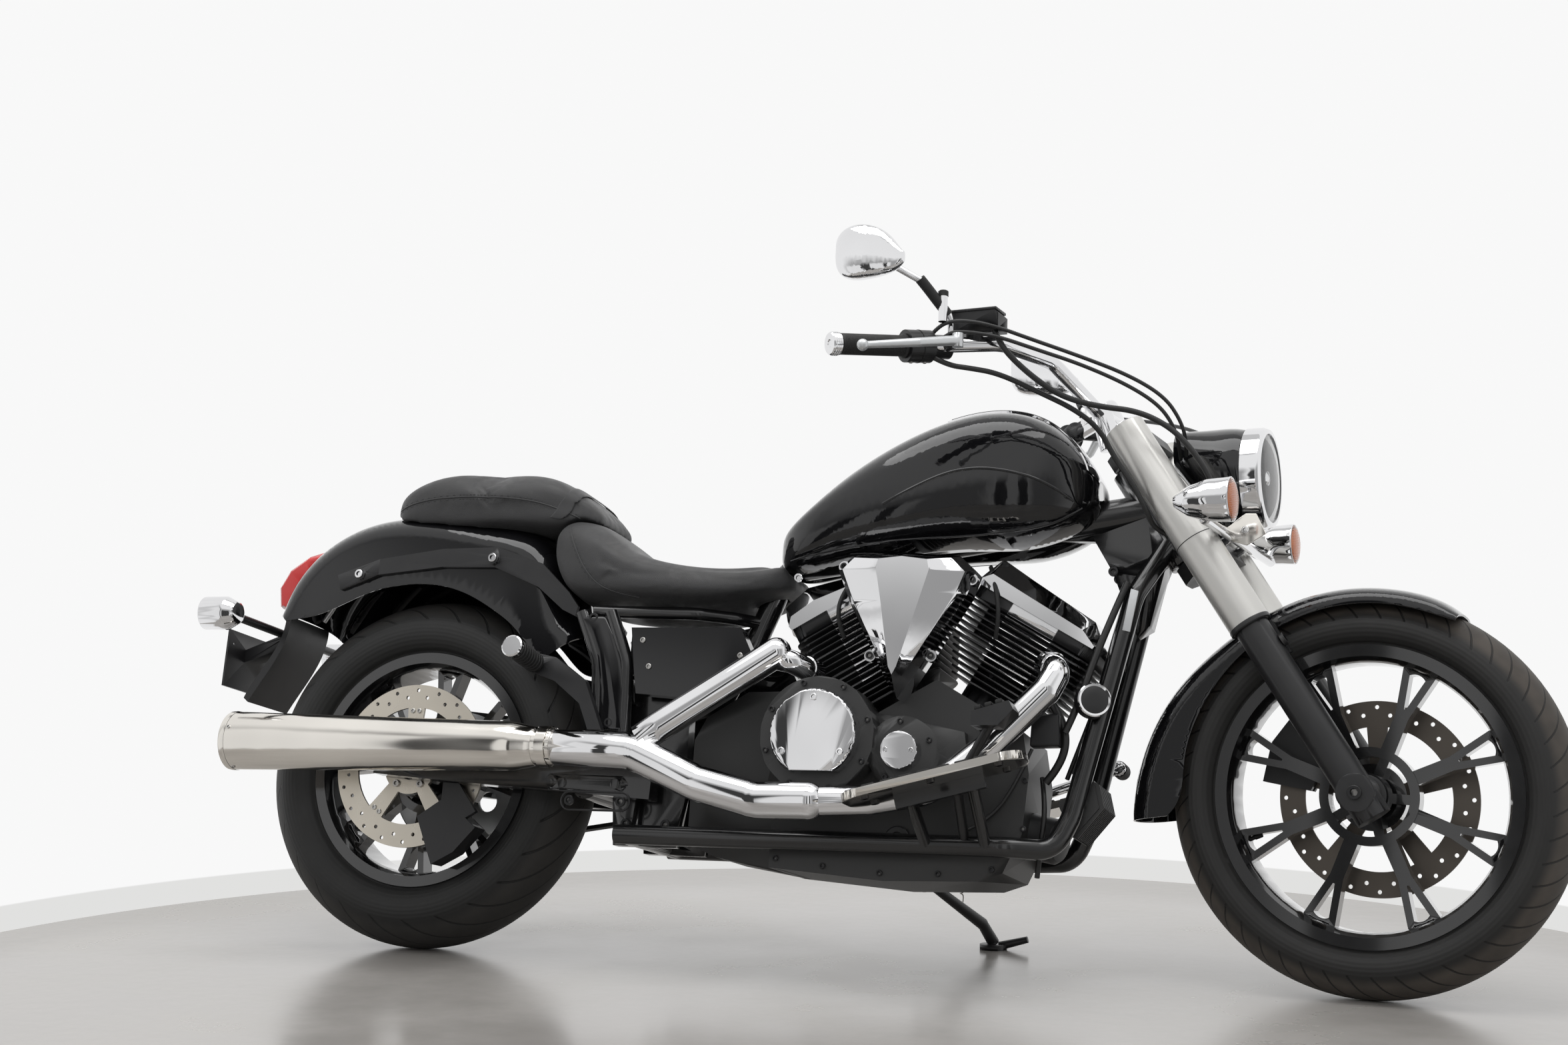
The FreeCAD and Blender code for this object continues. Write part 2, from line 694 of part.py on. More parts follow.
def make_swingarm():
    """Both arms with their cross tube, the pivot shaft, the rear axle and its spacers."""
    x, z, wall, high = s.swingarm_pivot_x, s.swingarm_pivot_z, s.arm_wall, s.arm_height
    wheel = s.rear_tyre_radius
    outline = [
        (x + 36, z - high / 2 + 4),
        (x + 38, z + high / 2 - 8),
        (x - 10, z + high / 2 + 2),
        (70, wheel + high / 2 - 6),
        (-42, wheel + high / 2 - 10),
        (-50, wheel - high / 2 + 8),
        (60, wheel - high / 2),
    ]
    right, left = s.right_arm_side + 2, s.left_arm_side
    arms = slab(outline, -right - wall / 2, -right + wall / 2)
    arms = arms.fuse(slab(outline, left - wall / 2, left + wall / 2))
    cross = rod((362, -right, z), (362, left, z), 25)
    pivot = rod((x, -right, z), (x, left, z), 12)
    axle = rod((0, -right, wheel), (0, left, wheel), s.axle_radius)
    disc_face = s.rear_disc_side + s.disc_thickness / 2
    spacer_right = rod((0, -right, wheel), (0, -disc_face - 1, wheel), 17)
    spacer_left = rod((0, s.belt_side + s.belt_width / 2 + 3, wheel), (0, left, wheel), 17)
    nuts = rod((0, -right - wall / 2 - 8, wheel), (0, -right, wheel), 16).fuse(
        rod((0, left, wheel), (0, left + wall / 2 + 14, wheel), 16)
    )
    shape = arms.multiFuse([cross, pivot, axle, spacer_right, spacer_left, nuts])
    recess = slab([(300, z - 12), (440, z - 14), (452, z), (440, z + 14), (300, z + 16), (290, z + 2)], -200, 6 - right - wall / 2)
    bolts = [rod((at, 3 - right - wall / 2, z + 1), (at, -right, z + 1), 9) for at in (322, 424)]
    feature("swingarm", shape.cut(recess).multiFuse(bolts))


def make_belt():
    """The toothed drive belt, open round both pulleys."""
    wide, rear, front = s.belt_width, s.pulley_radius + 0.5, s.front_pulley_radius + 0.5
    y = s.belt_side - wide / 2
    near_end, far_end = (0, s.rear_tyre_radius), (600, 345)

    def loop(extra):
        big = Vector(near_end[0], y, near_end[1])
        small = Vector(far_end[0], y, far_end[1])
        span = small - big
        slope = math.degrees(math.atan2(span.z, span.x))
        spread = math.degrees(math.acos((rear - front) / span.Length))
        ends = []
        for centre, radius in ((big, rear + extra), (small, front + extra)):
            ends.append([polar(centre.x, centre.z, radius, slope + a, y) for a in (spread, -spread)])
        back = polar(big.x, big.z, rear + extra, slope + 180, y)
        ahead = polar(small.x, small.z, front + extra, slope, y)
        edges = [
            Part.LineSegment(ends[0][0], ends[1][0]).toShape(),
            Part.Arc(ends[1][0], ahead, ends[1][1]).toShape(),
            Part.LineSegment(ends[1][1], ends[0][1]).toShape(),
            Part.Arc(ends[0][1], back, ends[0][0]).toShape(),
        ]
        return Part.Face(Part.Wire(edges)).extrude(Vector(0, wide, 0))

    feature("drive_belt", loop(s.belt_thickness).cut(loop(0)))


def bank(side, x=0.0, y=0.0, along=0.0):
    """A point in a cylinder's own frame: across the fins, across the machine, and up from the crankshaft."""
    angle = math.radians(s.bank_angle) * side
    up = Vector(math.sin(angle), 0, math.cos(angle))
    across = Vector(math.cos(angle), 0, -math.sin(angle))
    return Vector(s.crank_x, y, s.crank_z) + across * x + up * along


def bank_place(side):
    """The cylinder frame's placement: Z up the bore, X forward across the fins."""
    place = Placement(Vector(s.crank_x, 0, s.crank_z), Rotation(Y, s.bank_angle * side))
    if side > 0:
        place = place * Placement(Vector(s.front_bank_shift, 0, 0), Rotation())
    return place


def fins_of(side):
    """How many cooling fins a cylinder has."""
    return int(s.fin_count if side < 0 else s.front_fin_count)


def rounded_plate(half_x, half_y, thick, height, corner):
    """A flat plate with round corners, lying across Z."""
    plate = Part.makeBox(2 * half_x, 2 * half_y, thick, Vector(-half_x, -half_y, height))
    uprights = [e for e in plate.Edges if abs(e.tangentAt(e.FirstParameter).z) > 0.9]
    return plate.makeFillet(corner, uprights)


def make_cylinder(name, side):
    """A finned barrel and head, leaning forward or back."""
    fins = []
    first = s.deck + 24
    for i in range(fins_of(side)):
        at = first + i * s.fin_pitch
        reach = min(s.fin_length_top, at * math.tan(math.radians(s.bank_angle)) - 6)
        fins.append(rounded_plate(reach, s.fin_side, s.fin_thickness, at, 24))
    top = first + fins_of(side) * s.fin_pitch
    barrel = Part.makeCylinder(s.bore_sleeve_radius, top - s.deck - 0.1, Vector(0, 0, s.deck + 0.1))
    head = rounded_plate(s.fin_length_top - 6, s.fin_side, 20, top - 3, 22)
    core = rounded_plate(s.fin_length_top - 34, s.fin_side - 20, 70, top - 60, 20)
    shape = barrel.multiFuse(fins + [head, core])
    shape.Placement = bank_place(side)
    feature(name, shape)


REAR_COVER = ((-122, 0), (-124, 20), (-112, 54), (-60, 66), (8, 46), (96, 30), (120, 0))
FRONT_COVER = ((-124, 0), (-125, 16), (-107, 62), (-44, 56), (88, 46), (122, 12), (121, 0))


def head_cover(side):
    """The faceted chrome cover over a cylinder head: its profile across the fins, lower at both sides."""
    base = s.deck + 24 + fins_of(side) * s.fin_pitch + 17.1
    profile = REAR_COVER if side < 0 else FRONT_COVER
    sections = []
    for y, tall, long in ((-94, 0.42, 0.94), (-64, 0.96, 1.0), (-30, 1.0, 1.0), (30, 1.0, 1.0), (64, 0.96, 1.0), (94, 0.42, 0.94)):
        points = [Vector(x * long, y, base + z * tall * s.cap_height / 50) for x, z in profile]
        sections.append(Part.makePolygon(points + points[:1]))
    shape = Part.makeLoft(sections, True, True)
    shape.Placement = bank_place(side)
    return shape


AIR_CLEANER_BASE = (
    (812, 668), (836, 692), (932, 698), (1026, 690), (1054, 664),
    (1040, 624), (948, 474), (927, 446), (908, 474), (838, 606),
)
AIR_CLEANER_SHOULDER = (
    (826, 664), (846, 684), (932, 690), (1016, 682), (1040, 658),
    (1026, 622), (943, 484), (927, 460), (913, 484), (850, 606),
)
AIR_CLEANER_STRIP = (
    (892, 660), (895, 676), (936, 680), (980, 674), (984, 656),
    (973, 618), (936, 492), (929, 478), (922, 492), (903, 604),
)


def make_engine():
    """Crankcase, its covers and caps, the two cylinders and the covers on top of them."""
    wide = [
        (704, 162),
        (906, 147),
        (1067, 152),
        (1108, 167),
        (1138, 232),
        (1146, 330),
        (1133.6, 400.8),
        (983, 487.5),
        (850, 410.9),
        (790, 440),
        (704, 462),
    ]
    narrow = [(546, 200), (600, 178), (720, 160), (720, 468), (640, 466), (566, 420), (546, 380)]
    case = slab(wide, -s.case_half, s.case_half).fuse(slab(narrow, -84, 84))
    shaft = rod((600, 80, 345), (600, s.belt_side + s.belt_width / 2 + 4, 345), 24)
    pulley = rod((600, s.belt_side - s.belt_width / 2 - 3, 345), (600, s.belt_side + s.belt_width / 2 + 3, 345), s.front_pulley_radius)
    feature("engine_case", case.multiFuse([shaft, pulley]))
    face = s.case_half + 0.1
    big, small = (797, 379), (940, 357)
    web = slab([(700, 300), (960, 298), (1050, 330), (1040, 395), (920, 420), (720, 445)], -126, -face)
    cover = rod((big[0], -face, big[1]), (big[0], -172, big[1]), 100)
    cover = cover.multiFuse([rod((small[0], -face, small[1]), (small[0], -150, small[1]), 60), web])
    feature("clutch_housing", cover)
    cap = rod((big[0], -172.1, big[1]), (big[0], -196, big[1]), 76, 75)
    cap = cap.fuse(rod((big[0], -196, big[1]), (big[0], -200, big[1]), 75, 71))
    cap = cap.common(slab([(700, 317), (900, 317), (900, 460), (700, 460)], -210, -170))
    small_cap = rod((small[0], -150.1, small[1]), (small[0], -172, small[1]), 34, 31)
    feature("engine_caps", Part.makeCompound([cap, small_cap]))
    left = slab([(700, 290), (780, 262), (1000, 245), (1060, 300), (1070, 380), (990, 440), (760, 430), (700, 400)], face, 150)
    left = left.multiFuse([rod((983, face, 340), (983, 172, 340), 88, 80), rod((790, face, 350), (790, 162, 350), 76, 70)])
    feature("primary_cover", left)
    for name, side in (("rear", -1), ("front", 1)):
        make_cylinder(f"{name}_cylinder", side)
    feature("head_covers", Part.makeCompound([head_cover(-1), head_cover(1)]))
    outlines = (
        (-103.1, AIR_CLEANER_BASE),
        (-150, AIR_CLEANER_BASE),
        (-174, AIR_CLEANER_SHOULDER),
        (-198, AIR_CLEANER_STRIP),
    )
    wires = []
    for at, points in outlines:
        wires.append(Part.makePolygon([Vector(x, at, z) for x, z in points + points[:1]]))
    shell = Part.makeLoft(wires, True, True)
    ears = [rod((x, -136, z), (x, -150, z), 10) for x, z in ((822, 674), (1047, 650), (876, 519), (982, 519))]
    feature("air_cleaner", shell.multiFuse(ears))
    guard = [(548, 300), (600, 285), (652, 300), (668, 350), (650, 400), (600, 412), (550, 400), (530, 350)]
    feature("belt_cover", slab(guard, 119.2, 146))


def make_exhaust():
    """Both header pipes in their heat shields, joined into the muffler's collar."""
    side, high = s.muffler_side, s.muffler_height
    front = [
        (1170, -108, 512),
        (1196, -134, 500),
        (1180, -150, 462),
        (1090, -160, 368),
        (1000, -172, 290),
        (900, -186, 270),
        (800, -204, 264),
        (706, -204, 264),
        (600, -202, 290),
        (474, -side, 341),
        (330, -side, high),
    ]
    elbow = [(764, -96, 500), (756, -128, 500), (738, -150, 508), (700, -160, 514)]
    rear = [(712, -158, 522), (520, -196, 384), (490, -198, 362)]
    slim = tube(front[:3], s.pipe_radius, 40)
    cut = 6
    shield = tube(front[cut:], s.shield_radius, 90)
    inner = tube(front[2:cut + 2], s.pipe_radius, 90)
    knob = Part.makeSphere(s.shield_radius, Vector(*front[cut]))
    upper = tube(rear, s.shield_radius - 5, 40).fuse(Part.makeSphere(s.shield_radius - 5, Vector(*rear[0])))
    pipes = shield.multiFuse([slim, inner, knob, upper, tube(elbow, s.pipe_radius - 4, 26)])
    joint = Part.makeSphere(s.pipe_radius, Vector(*front[2]))
    feature("header_pipes", pipes.fuse(joint).cut(rod((200, -side, high), (334.3, -side, high), 60)))
    tail, nose = s.muffler_radius, s.muffler_front_radius
    body = rod((255, -side, high), (-308, -side, high), nose, tail)
    cone = rod((300, -side, high), (255, -side, high), 34, nose)
    collar = rod((334.1, -side, high), (300, -side, high), 33)
    mouth = rod((-310, -side, high), (-150, -side, high), tail - 9)
    feature("muffler", collar.multiFuse([body, cone]).cut(mouth))


# Bodywork: lofts through upright sections


TANK = (
    (672, 44, 700, 752, 726),
    (682, 68, 690, 766, 730),
    (704, 92, 688, 784, 740),
    (763, 122, 700, 830, 765),
    (854, 147, 713, 893, 795),
    (958, 160, 723, 944, 825),
    (1023, 162, 727, 962, 845),
    (1089, 160, 727, 965, 858),
    (1154, 146, 737, 946, 855),
    (1200, 120, 755, 910, 840),
    (1228, 88, 776, 874, 828),
    (1240, 55, 800, 850, 826),
)
RIDER_SEAT = (
    (254, 96, 706, 756, 732),
    (270, 122, 672, 782, 716),
    (300, 138, 634, 786, 700),
    (345, 150, 620, 764, 690),
    (411, 156, 616, 716, 672),
    (489, 154, 615, 690, 660),
    (563, 138, 618, 684, 656),
    (636, 104, 636, 694, 668),
    (684, 72, 655, 706, 684),
    (700, 46, 668, 704, 688),
)
PILLION = (
    (-100, 60, 786, 816, 802),
    (-84, 88, 776, 836, 804),
    (-50, 104, 772, 856, 808),
    (1, 110, 768, 872, 812),
    (100, 112, 766, 872, 812),
    (213, 112, 762, 866, 806),
    (262, 108, 760, 846, 800),
    (300, 96, 764, 818, 790),
    (328, 74, 770, 794, 782),
)


CONSOLE_EDGE = ((930, 962), (966, 952), (1026, 934), (1089, 922), (1150, 900), (1221, 858), (1262, 822))


def section_loft(rows, square, grow=0.0):
    """A smooth body through rows of X, half width, foot, crest and widest height, grown all round."""
    wires = []
    for x, half, low, high, widest in rows:
        wires.append(ring_section(x, half + grow, low - grow, high + grow, widest, square))
    return Part.makeLoft(wires, True, False)


def make_tank():
    """The fuel tank over the backbone, and the chrome console on its crest."""
    rows = [(x, half * s.tank_half / 162, low, high, mid) for x, half, low, high, mid in TANK]
    tank = section_loft(rows, 0.62)
    path = [steering_point(600), Vector(700, 0, 715)]
    room = s.backbone_radius + 1.5
    tunnel = rod(path[0], path[1], room)
    below = slab([(1330, 790), (1330, 600), (600, 600), (600, 700), (700, 715)], -room, room)
    feature("fuel_tank", tank.cut(tunnel.multiFuse([below, tube(SEAT_TUBE, 24, 60)])))
    crown = slab(CONSOLE_EDGE + ((1262, 1040), (930, 1040)), -90, 90)
    console = section_loft(rows, 0.62, 4).common(crown).cut(section_loft(rows, 0.62, 0.2))
    cap = rod((1012, 0, 940), (1012, 0, 978), 36).cut(section_loft(rows, 0.62, 0.2))
    feature("tank_console", console.fuse(cap))
    return section_loft(rows, 0.62, 1.0)


def fender_section(centre, degrees, crest, edge, half, wall):
    """The U of a fender's cross-section, in the half plane at an angle round the axle."""

    def at(radius, y):
        return polar(centre[0], centre[1], radius, degrees, y)

    drop = min(0.55 * half, crest - edge - 4)

    def arch(trim):
        points = []
        for k in range(9):
            angle = math.pi * k / 8
            across = math.copysign(abs(math.cos(angle)) ** 0.8, math.cos(angle)) * (half - trim)
            points.append(at(crest - trim - drop * (1 - abs(math.sin(angle)) ** 0.9), across))
        curve = Part.BSplineCurve()
        curve.interpolate(points)
        return points, curve

    outer, outer_curve = arch(0)
    inner, inner_curve = arch(wall)
    edges = [
        Part.LineSegment(at(edge, half), outer[0]).toShape(),
        outer_curve.toShape(),
        Part.LineSegment(outer[-1], at(edge, -half)).toShape(),
        Part.LineSegment(at(edge, -half), at(edge, wall - half)).toShape(),
        Part.LineSegment(at(edge, wall - half), inner[-1]).toShape(),
        inner_curve.toShape(),
        Part.LineSegment(inner[0], at(edge, half - wall)).toShape(),
        Part.LineSegment(at(edge, half - wall), at(edge, half)).toShape(),
    ]
    return Part.Wire(edges)


FRONT_FENDER = (
    (187, 388, 318),
    (180, 382, 292),
    (168, 371, 291),
    (152, 356, 292),
    (136, 342, 294),
    (118, 337, 298),
    (98, 337, 303),
    (80, 336, 305),
    (68, 333, 306),
    (62, 326, 309),
)
REAR_FENDER = (
    (137.5, 432, 396),
    (131, 468, 366),
    (122, 488, 348),
    (110, 496, 344),
    (98, 488, 340),
    (86, 478, 336),
    (74, 479, 328),
    (63, 484, 320),
    (54, 444, 316),
    (45, 412, 312),
    (38, 406, 330),
)


def make_fender(name, end, pose, rows, half):
    """A fender of even thickness through sections at angles round its axle."""
    centre = (s.wheelbase if end == "front" else 0, getattr(s, f"{end}_tyre_radius"))
    wires = [fender_section(centre, a, crest, edge, half, s.fender_wall) for a, crest, edge in rows]
    shape = Part.makeLoft(wires, True, False)
    feature(name, shape, pose)
    return shape


def make_bodywork():
    """Tank, seats, fenders, side covers and what hangs on the rear fender."""
    grown_tank = make_tank()
    room = tube(SEAT_TUBE, 22, 60)
    feature("rider_seat", section_loft(RIDER_SEAT, 0.55).cut(grown_tank).cut(room))
    centre = (0, s.rear_tyre_radius)
    make_fender("rear_fender", "rear", "chassis", REAR_FENDER, s.rear_fender_half)
    wires = [fender_section(centre, a, crest + 0.4, edge, s.rear_fender_half + 0.4, 60) for a, crest, edge in REAR_FENDER[1:]]
    block = Part.makeLoft(wires, True, False)
    seat = section_loft(RIDER_SEAT, 0.55, 1.0)
    feature("pillion_seat", section_loft(PILLION, 0.5).cut(block).cut(seat))
    strut = [(-178, 648), (-100, 676), (33, 690), (140, 688), (232, 650), (284, 608), (310, 596), (314, 614), (294, 640), (236, 694), (142, 726), (30, 724), (-100, 706), (-186, 676)]
    half = s.rear_fender_half
    struts = slab(strut, half + 0.1, half + 9)
    heads = [rod((x, half + 8, z), (x, half + 16, z), 11) for x, z in ((-136, 676), (138, 704))]
    feature("fender_struts", both_sides(struts.multiFuse(heads)))
    wires = []
    for y, out in ((-56, -9), (-44, 2), (-22, 10), (22, 10), (44, 2), (56, -9)):
        lamp = [(-306, 618), (-346 - out, 632), (-352 - out, 668), (-334 - out * 0.8, 702 + out * 0.5)]
        lamp += [(-296, 728 + out), (-238, 744 + out), (-214, 742), (-262, 700), (-296, 640)]
        wires.append(Part.makePolygon([Vector(x, y, z) for x, z in lamp + lamp[:1]]))
    housing = Part.makeLoft(wires, True, True)
    feature("tail_lamp", housing.cut(block_of_fender(centre)))
    guard = curved_slab([[(-316, 608), (-324, 560), (-350, 512), (-388, 448)], [(-388, 448), (-378, 440)], [(-378, 440), (-340, 502), (-314, 554), (-305, 606)], [(-305, 606), (-316, 608)]], -70, 70)
    plate = Part.makeBox(4, 160, 110, Vector(-434, -80, 470))
    stem = slab([(-432, 550), (-332, 588), (-319.3, 582), (-323.8, 562), (-432, 525)], -20, 20)
    bar = rod((-345, -232, 580), (-345, 232, 580), 8)
    holes = [rod((-450, y * s.plate_hole_spacing / 2, 555), (-420, y * s.plate_hole_spacing / 2, 555), s.plate_hole_radius) for y in (-1, 1)]
    bracket = plate.multiFuse([stem, bar]).cut(Part.makeCompound(holes))
    feature("plate_bracket", Part.makeCompound([bracket, guard]))
    signal = rod((-322, 222, 580), (-345, 222, 580), 20, 31).fuse(rod((-345, 222, 580), (-388, 222, 580), 31))
    signal = signal.cut(rod((-345, 0, 580), (-345, 240, 580), 8.1))
    feature("rear_signals", both_sides(signal))
    cover = [(432, 570), (637, 570), (671, 504), (600, 468), (532, 446), (450, 452), (442, 500)]
    pegs = [rod((x, 60.3, z), (x, 112, z), 6) for x, z in ((490, 548), (535, 520))]
    feature("side_covers", both_sides(slab(cover, 112, 140).multiFuse(pegs)))
    feature("battery_box", Part.makeBox(150, 120, 72, Vector(400, -60, 500)).cut(rod((640, 0, 620), (520, 0, 400), 40)))


def block_of_fender(centre):
    """The space the rear fender fills, with a little room round it."""
    wires = [fender_section(centre, a, crest + 0.4, edge, s.rear_fender_half + 0.4, 30) for a, crest, edge in REAR_FENDER]
    return Part.makeLoft(wires, True, False)


def make_rear_details():
    """Caliper, footrests, foot controls, horn and regulator."""
    angle = -50
    ring = [polar(0, s.rear_tyre_radius, r, a) for r, a in ((192, -68), (192, -54), (188, -36), (104, -34), (100, -70))]
    side = s.rear_disc_side
    body = slab([(p.x, p.z) for p in ring], -side - 21, -side + 21)
    slot = rod((0, -side - 7.5, s.rear_tyre_radius), (0, -side + 7.5, s.rear_tyre_radius), s.rear_disc_radius + 6)
    arm = s.right_arm_side + 2
    caliper = body.cut(slot).cut(slab([(-100, 262), (500, 262), (500, 400), (-100, 400)], -200, -arm + s.arm_wall / 2 + 0.2))
    lug = slab([(80, 256), (130, 228), (150, 240), (112, 289.4), (80, 291)], -side - 21, -104)
    feature("rear_caliper", caliper.fuse(lug))
    pegs = []
    bracket = slab([(214, 500), (300, 470), (352, 430), (372, 384), (398, 384), (360, 470), (300, 512), (220, 528)], -158, -141.2)
    peg = rod((262, -158, 500), (262, -262, 512), 14, 17)
    feature("pillion_pegs", both_sides(bracket.fuse(peg)))
    board = rounded_plate(s.board_length / 2, s.board_width / 2, BOARD_THICK, -BOARD_THICK, 34)
    board.Placement = board_place()
    feature("floorboards", both_sides(board))
    pedal = slab([(1082, 385), (1126, 386), (1150, 412), (1142, 426), (1082, 408)], -262, -214)
    arm = rod((1110, -222, 400), (1050, -207, 300), 8).fuse(rod((1050, -210, 300), (1050, -152, 236), 8))
    arm = arm.fuse(rod((1050, -156, 240), (1050, -134, 215), 8)).cut(rod((900, -s.rail_side, s.rail_height), (1120, -s.rail_side, s.rail_height), s.tube_radius + 0.2))
    feature("brake_pedal", pedal.fuse(arm))
    peg = rod((1240, 215, 388), (1240, 275, 388), 13)
    lever = slab([(1246, 380), (1240, 394), (1076, 337), (1076, 322), (1090, 322)], 217, 226)
    shaft = rod((1083, 221, 330), (1083, s.case_half + 0.3, 330), 6)
    feature("shift_lever", peg.multiFuse([lever, shaft]))
    horn = rod((1246, -104, 452), (1254, -122, 452), 29, 27).fuse(rod((1249, -111, 452), (1257.35, -88.85, 452), 5))
    feature("horn", horn)
    regulator = slab([(1186, 290), (1246, 328), (1256, 283), (1214, 233)], -60, 60)
    reach = 62.8
    bar = slab([(1206, 284), (1206, 296), (1236, 296), (1236, 284)], -reach, reach)
    feature("regulator", regulator.fuse(bar))


# Fork: everything that turns with the steering


def make_fork():
    """Clamps and stem, cover tubes, sliders with the axle, caliper and fender."""
    stem = rod(steering_point(458), steering_point(714), s.stem_radius)
    ends = []
    for low, high in ((s.lower_clamp - 30, s.lower_clamp), (s.upper_clamp, s.fork_top)):
        near, far = s.leg_side - 33, s.leg_side + 20
        plan = [(-67, 20), (-67, -20), (-14, -near), (-20, -far), (24, 10 - far), (24, far - 10), (-20, far), (-14, near)]
        wire = Part.makePolygon([Vector(x, y, low) for x, y in plan + plan[:1]])
        ends.append(Part.Face(wire).extrude(Vector(0, 0, high - low)))
    clamps = Part.makeCompound(ends)
    tubes = [Part.makeCylinder(s.sleeve_radius + 0.1, 500, Vector(0, y * s.leg_side, 300)) for y in (-1, 1)]
    clamps = clamps.cut(Part.makeCompound(tubes))
    clamps.Placement = fork_frame()
    cleared = [piece for piece in clamps.Solids if piece.Volume > 60000]
    feature("fork_clamps", stem.multiFuse(cleared), "fork")
    sleeve_parts = []
    for y in (-1, 1):
        outer = Part.makeCylinder(s.sleeve_radius, s.fork_top - s.sleeve_start, Vector(0, y * s.leg_side, s.sleeve_start))
        bore = Part.makeCylinder(s.slider_radius + 0.1, s.lower_clamp - s.sleeve_start, Vector(0, y * s.leg_side, s.sleeve_start - 1))
        sleeve_parts.append(outer.cut(bore))
    sleeves = Part.makeCompound(sleeve_parts)
    sleeves.Placement = fork_frame()
    feature("fork_sleeves", sleeves, "fork")
    sliders = []
    for y in (-1, 1):
        leg = Part.makeCylinder(s.slider_radius, 390, Vector(0, y * s.leg_side, -45))
        boss = rod((0, y * (s.leg_side - 26), 0), (0, y * (s.leg_side + 30), 0), 30)
        lug = Part.makeBox(60, 9, 62, Vector(-30, y * 78.4 - 4.5, 250))
        sliders += [leg, boss, lug]
    axle = rod((0, -s.leg_side, 0), (0, s.leg_side, 0), s.axle_radius)
    spacers = [rod((0, -s.leg_side, 0), (0, -53, 0), 16), rod((0, s.front_disc_side + 4, 0), (0, s.leg_side, 0), 16)]
    lower = axle.multiFuse(sliders + spacers)
    lower.Placement = fork_frame()
    lug = slab([(p.x, p.z) for p in (polar(s.wheelbase, s.front_tyre_radius, r, a) for r, a in ((112, 122), (176, 122), (170, 150), (118, 150)))], 84, 100)
    feature("fork_sliders", lower.fuse(lug), "fork")
    ring = [polar(s.wheelbase, s.front_tyre_radius, r, a) for r, a in ((190, 136), (192, 152), (186, 172), (106, 174), (104, 134))]
    caliper = slab([(p.x, p.z) for p in ring], 44, 83.9)
    slot = rod((s.wheelbase, s.front_disc_side - 7.5, s.front_tyre_radius), (s.wheelbase, s.front_disc_side + 7.5, s.front_tyre_radius), s.front_disc_radius + 6)
    feature("front_caliper", caliper.cut(slot), "fork")
    make_fender("front_fender", "front", "fork", FRONT_FENDER, s.front_fender_half)


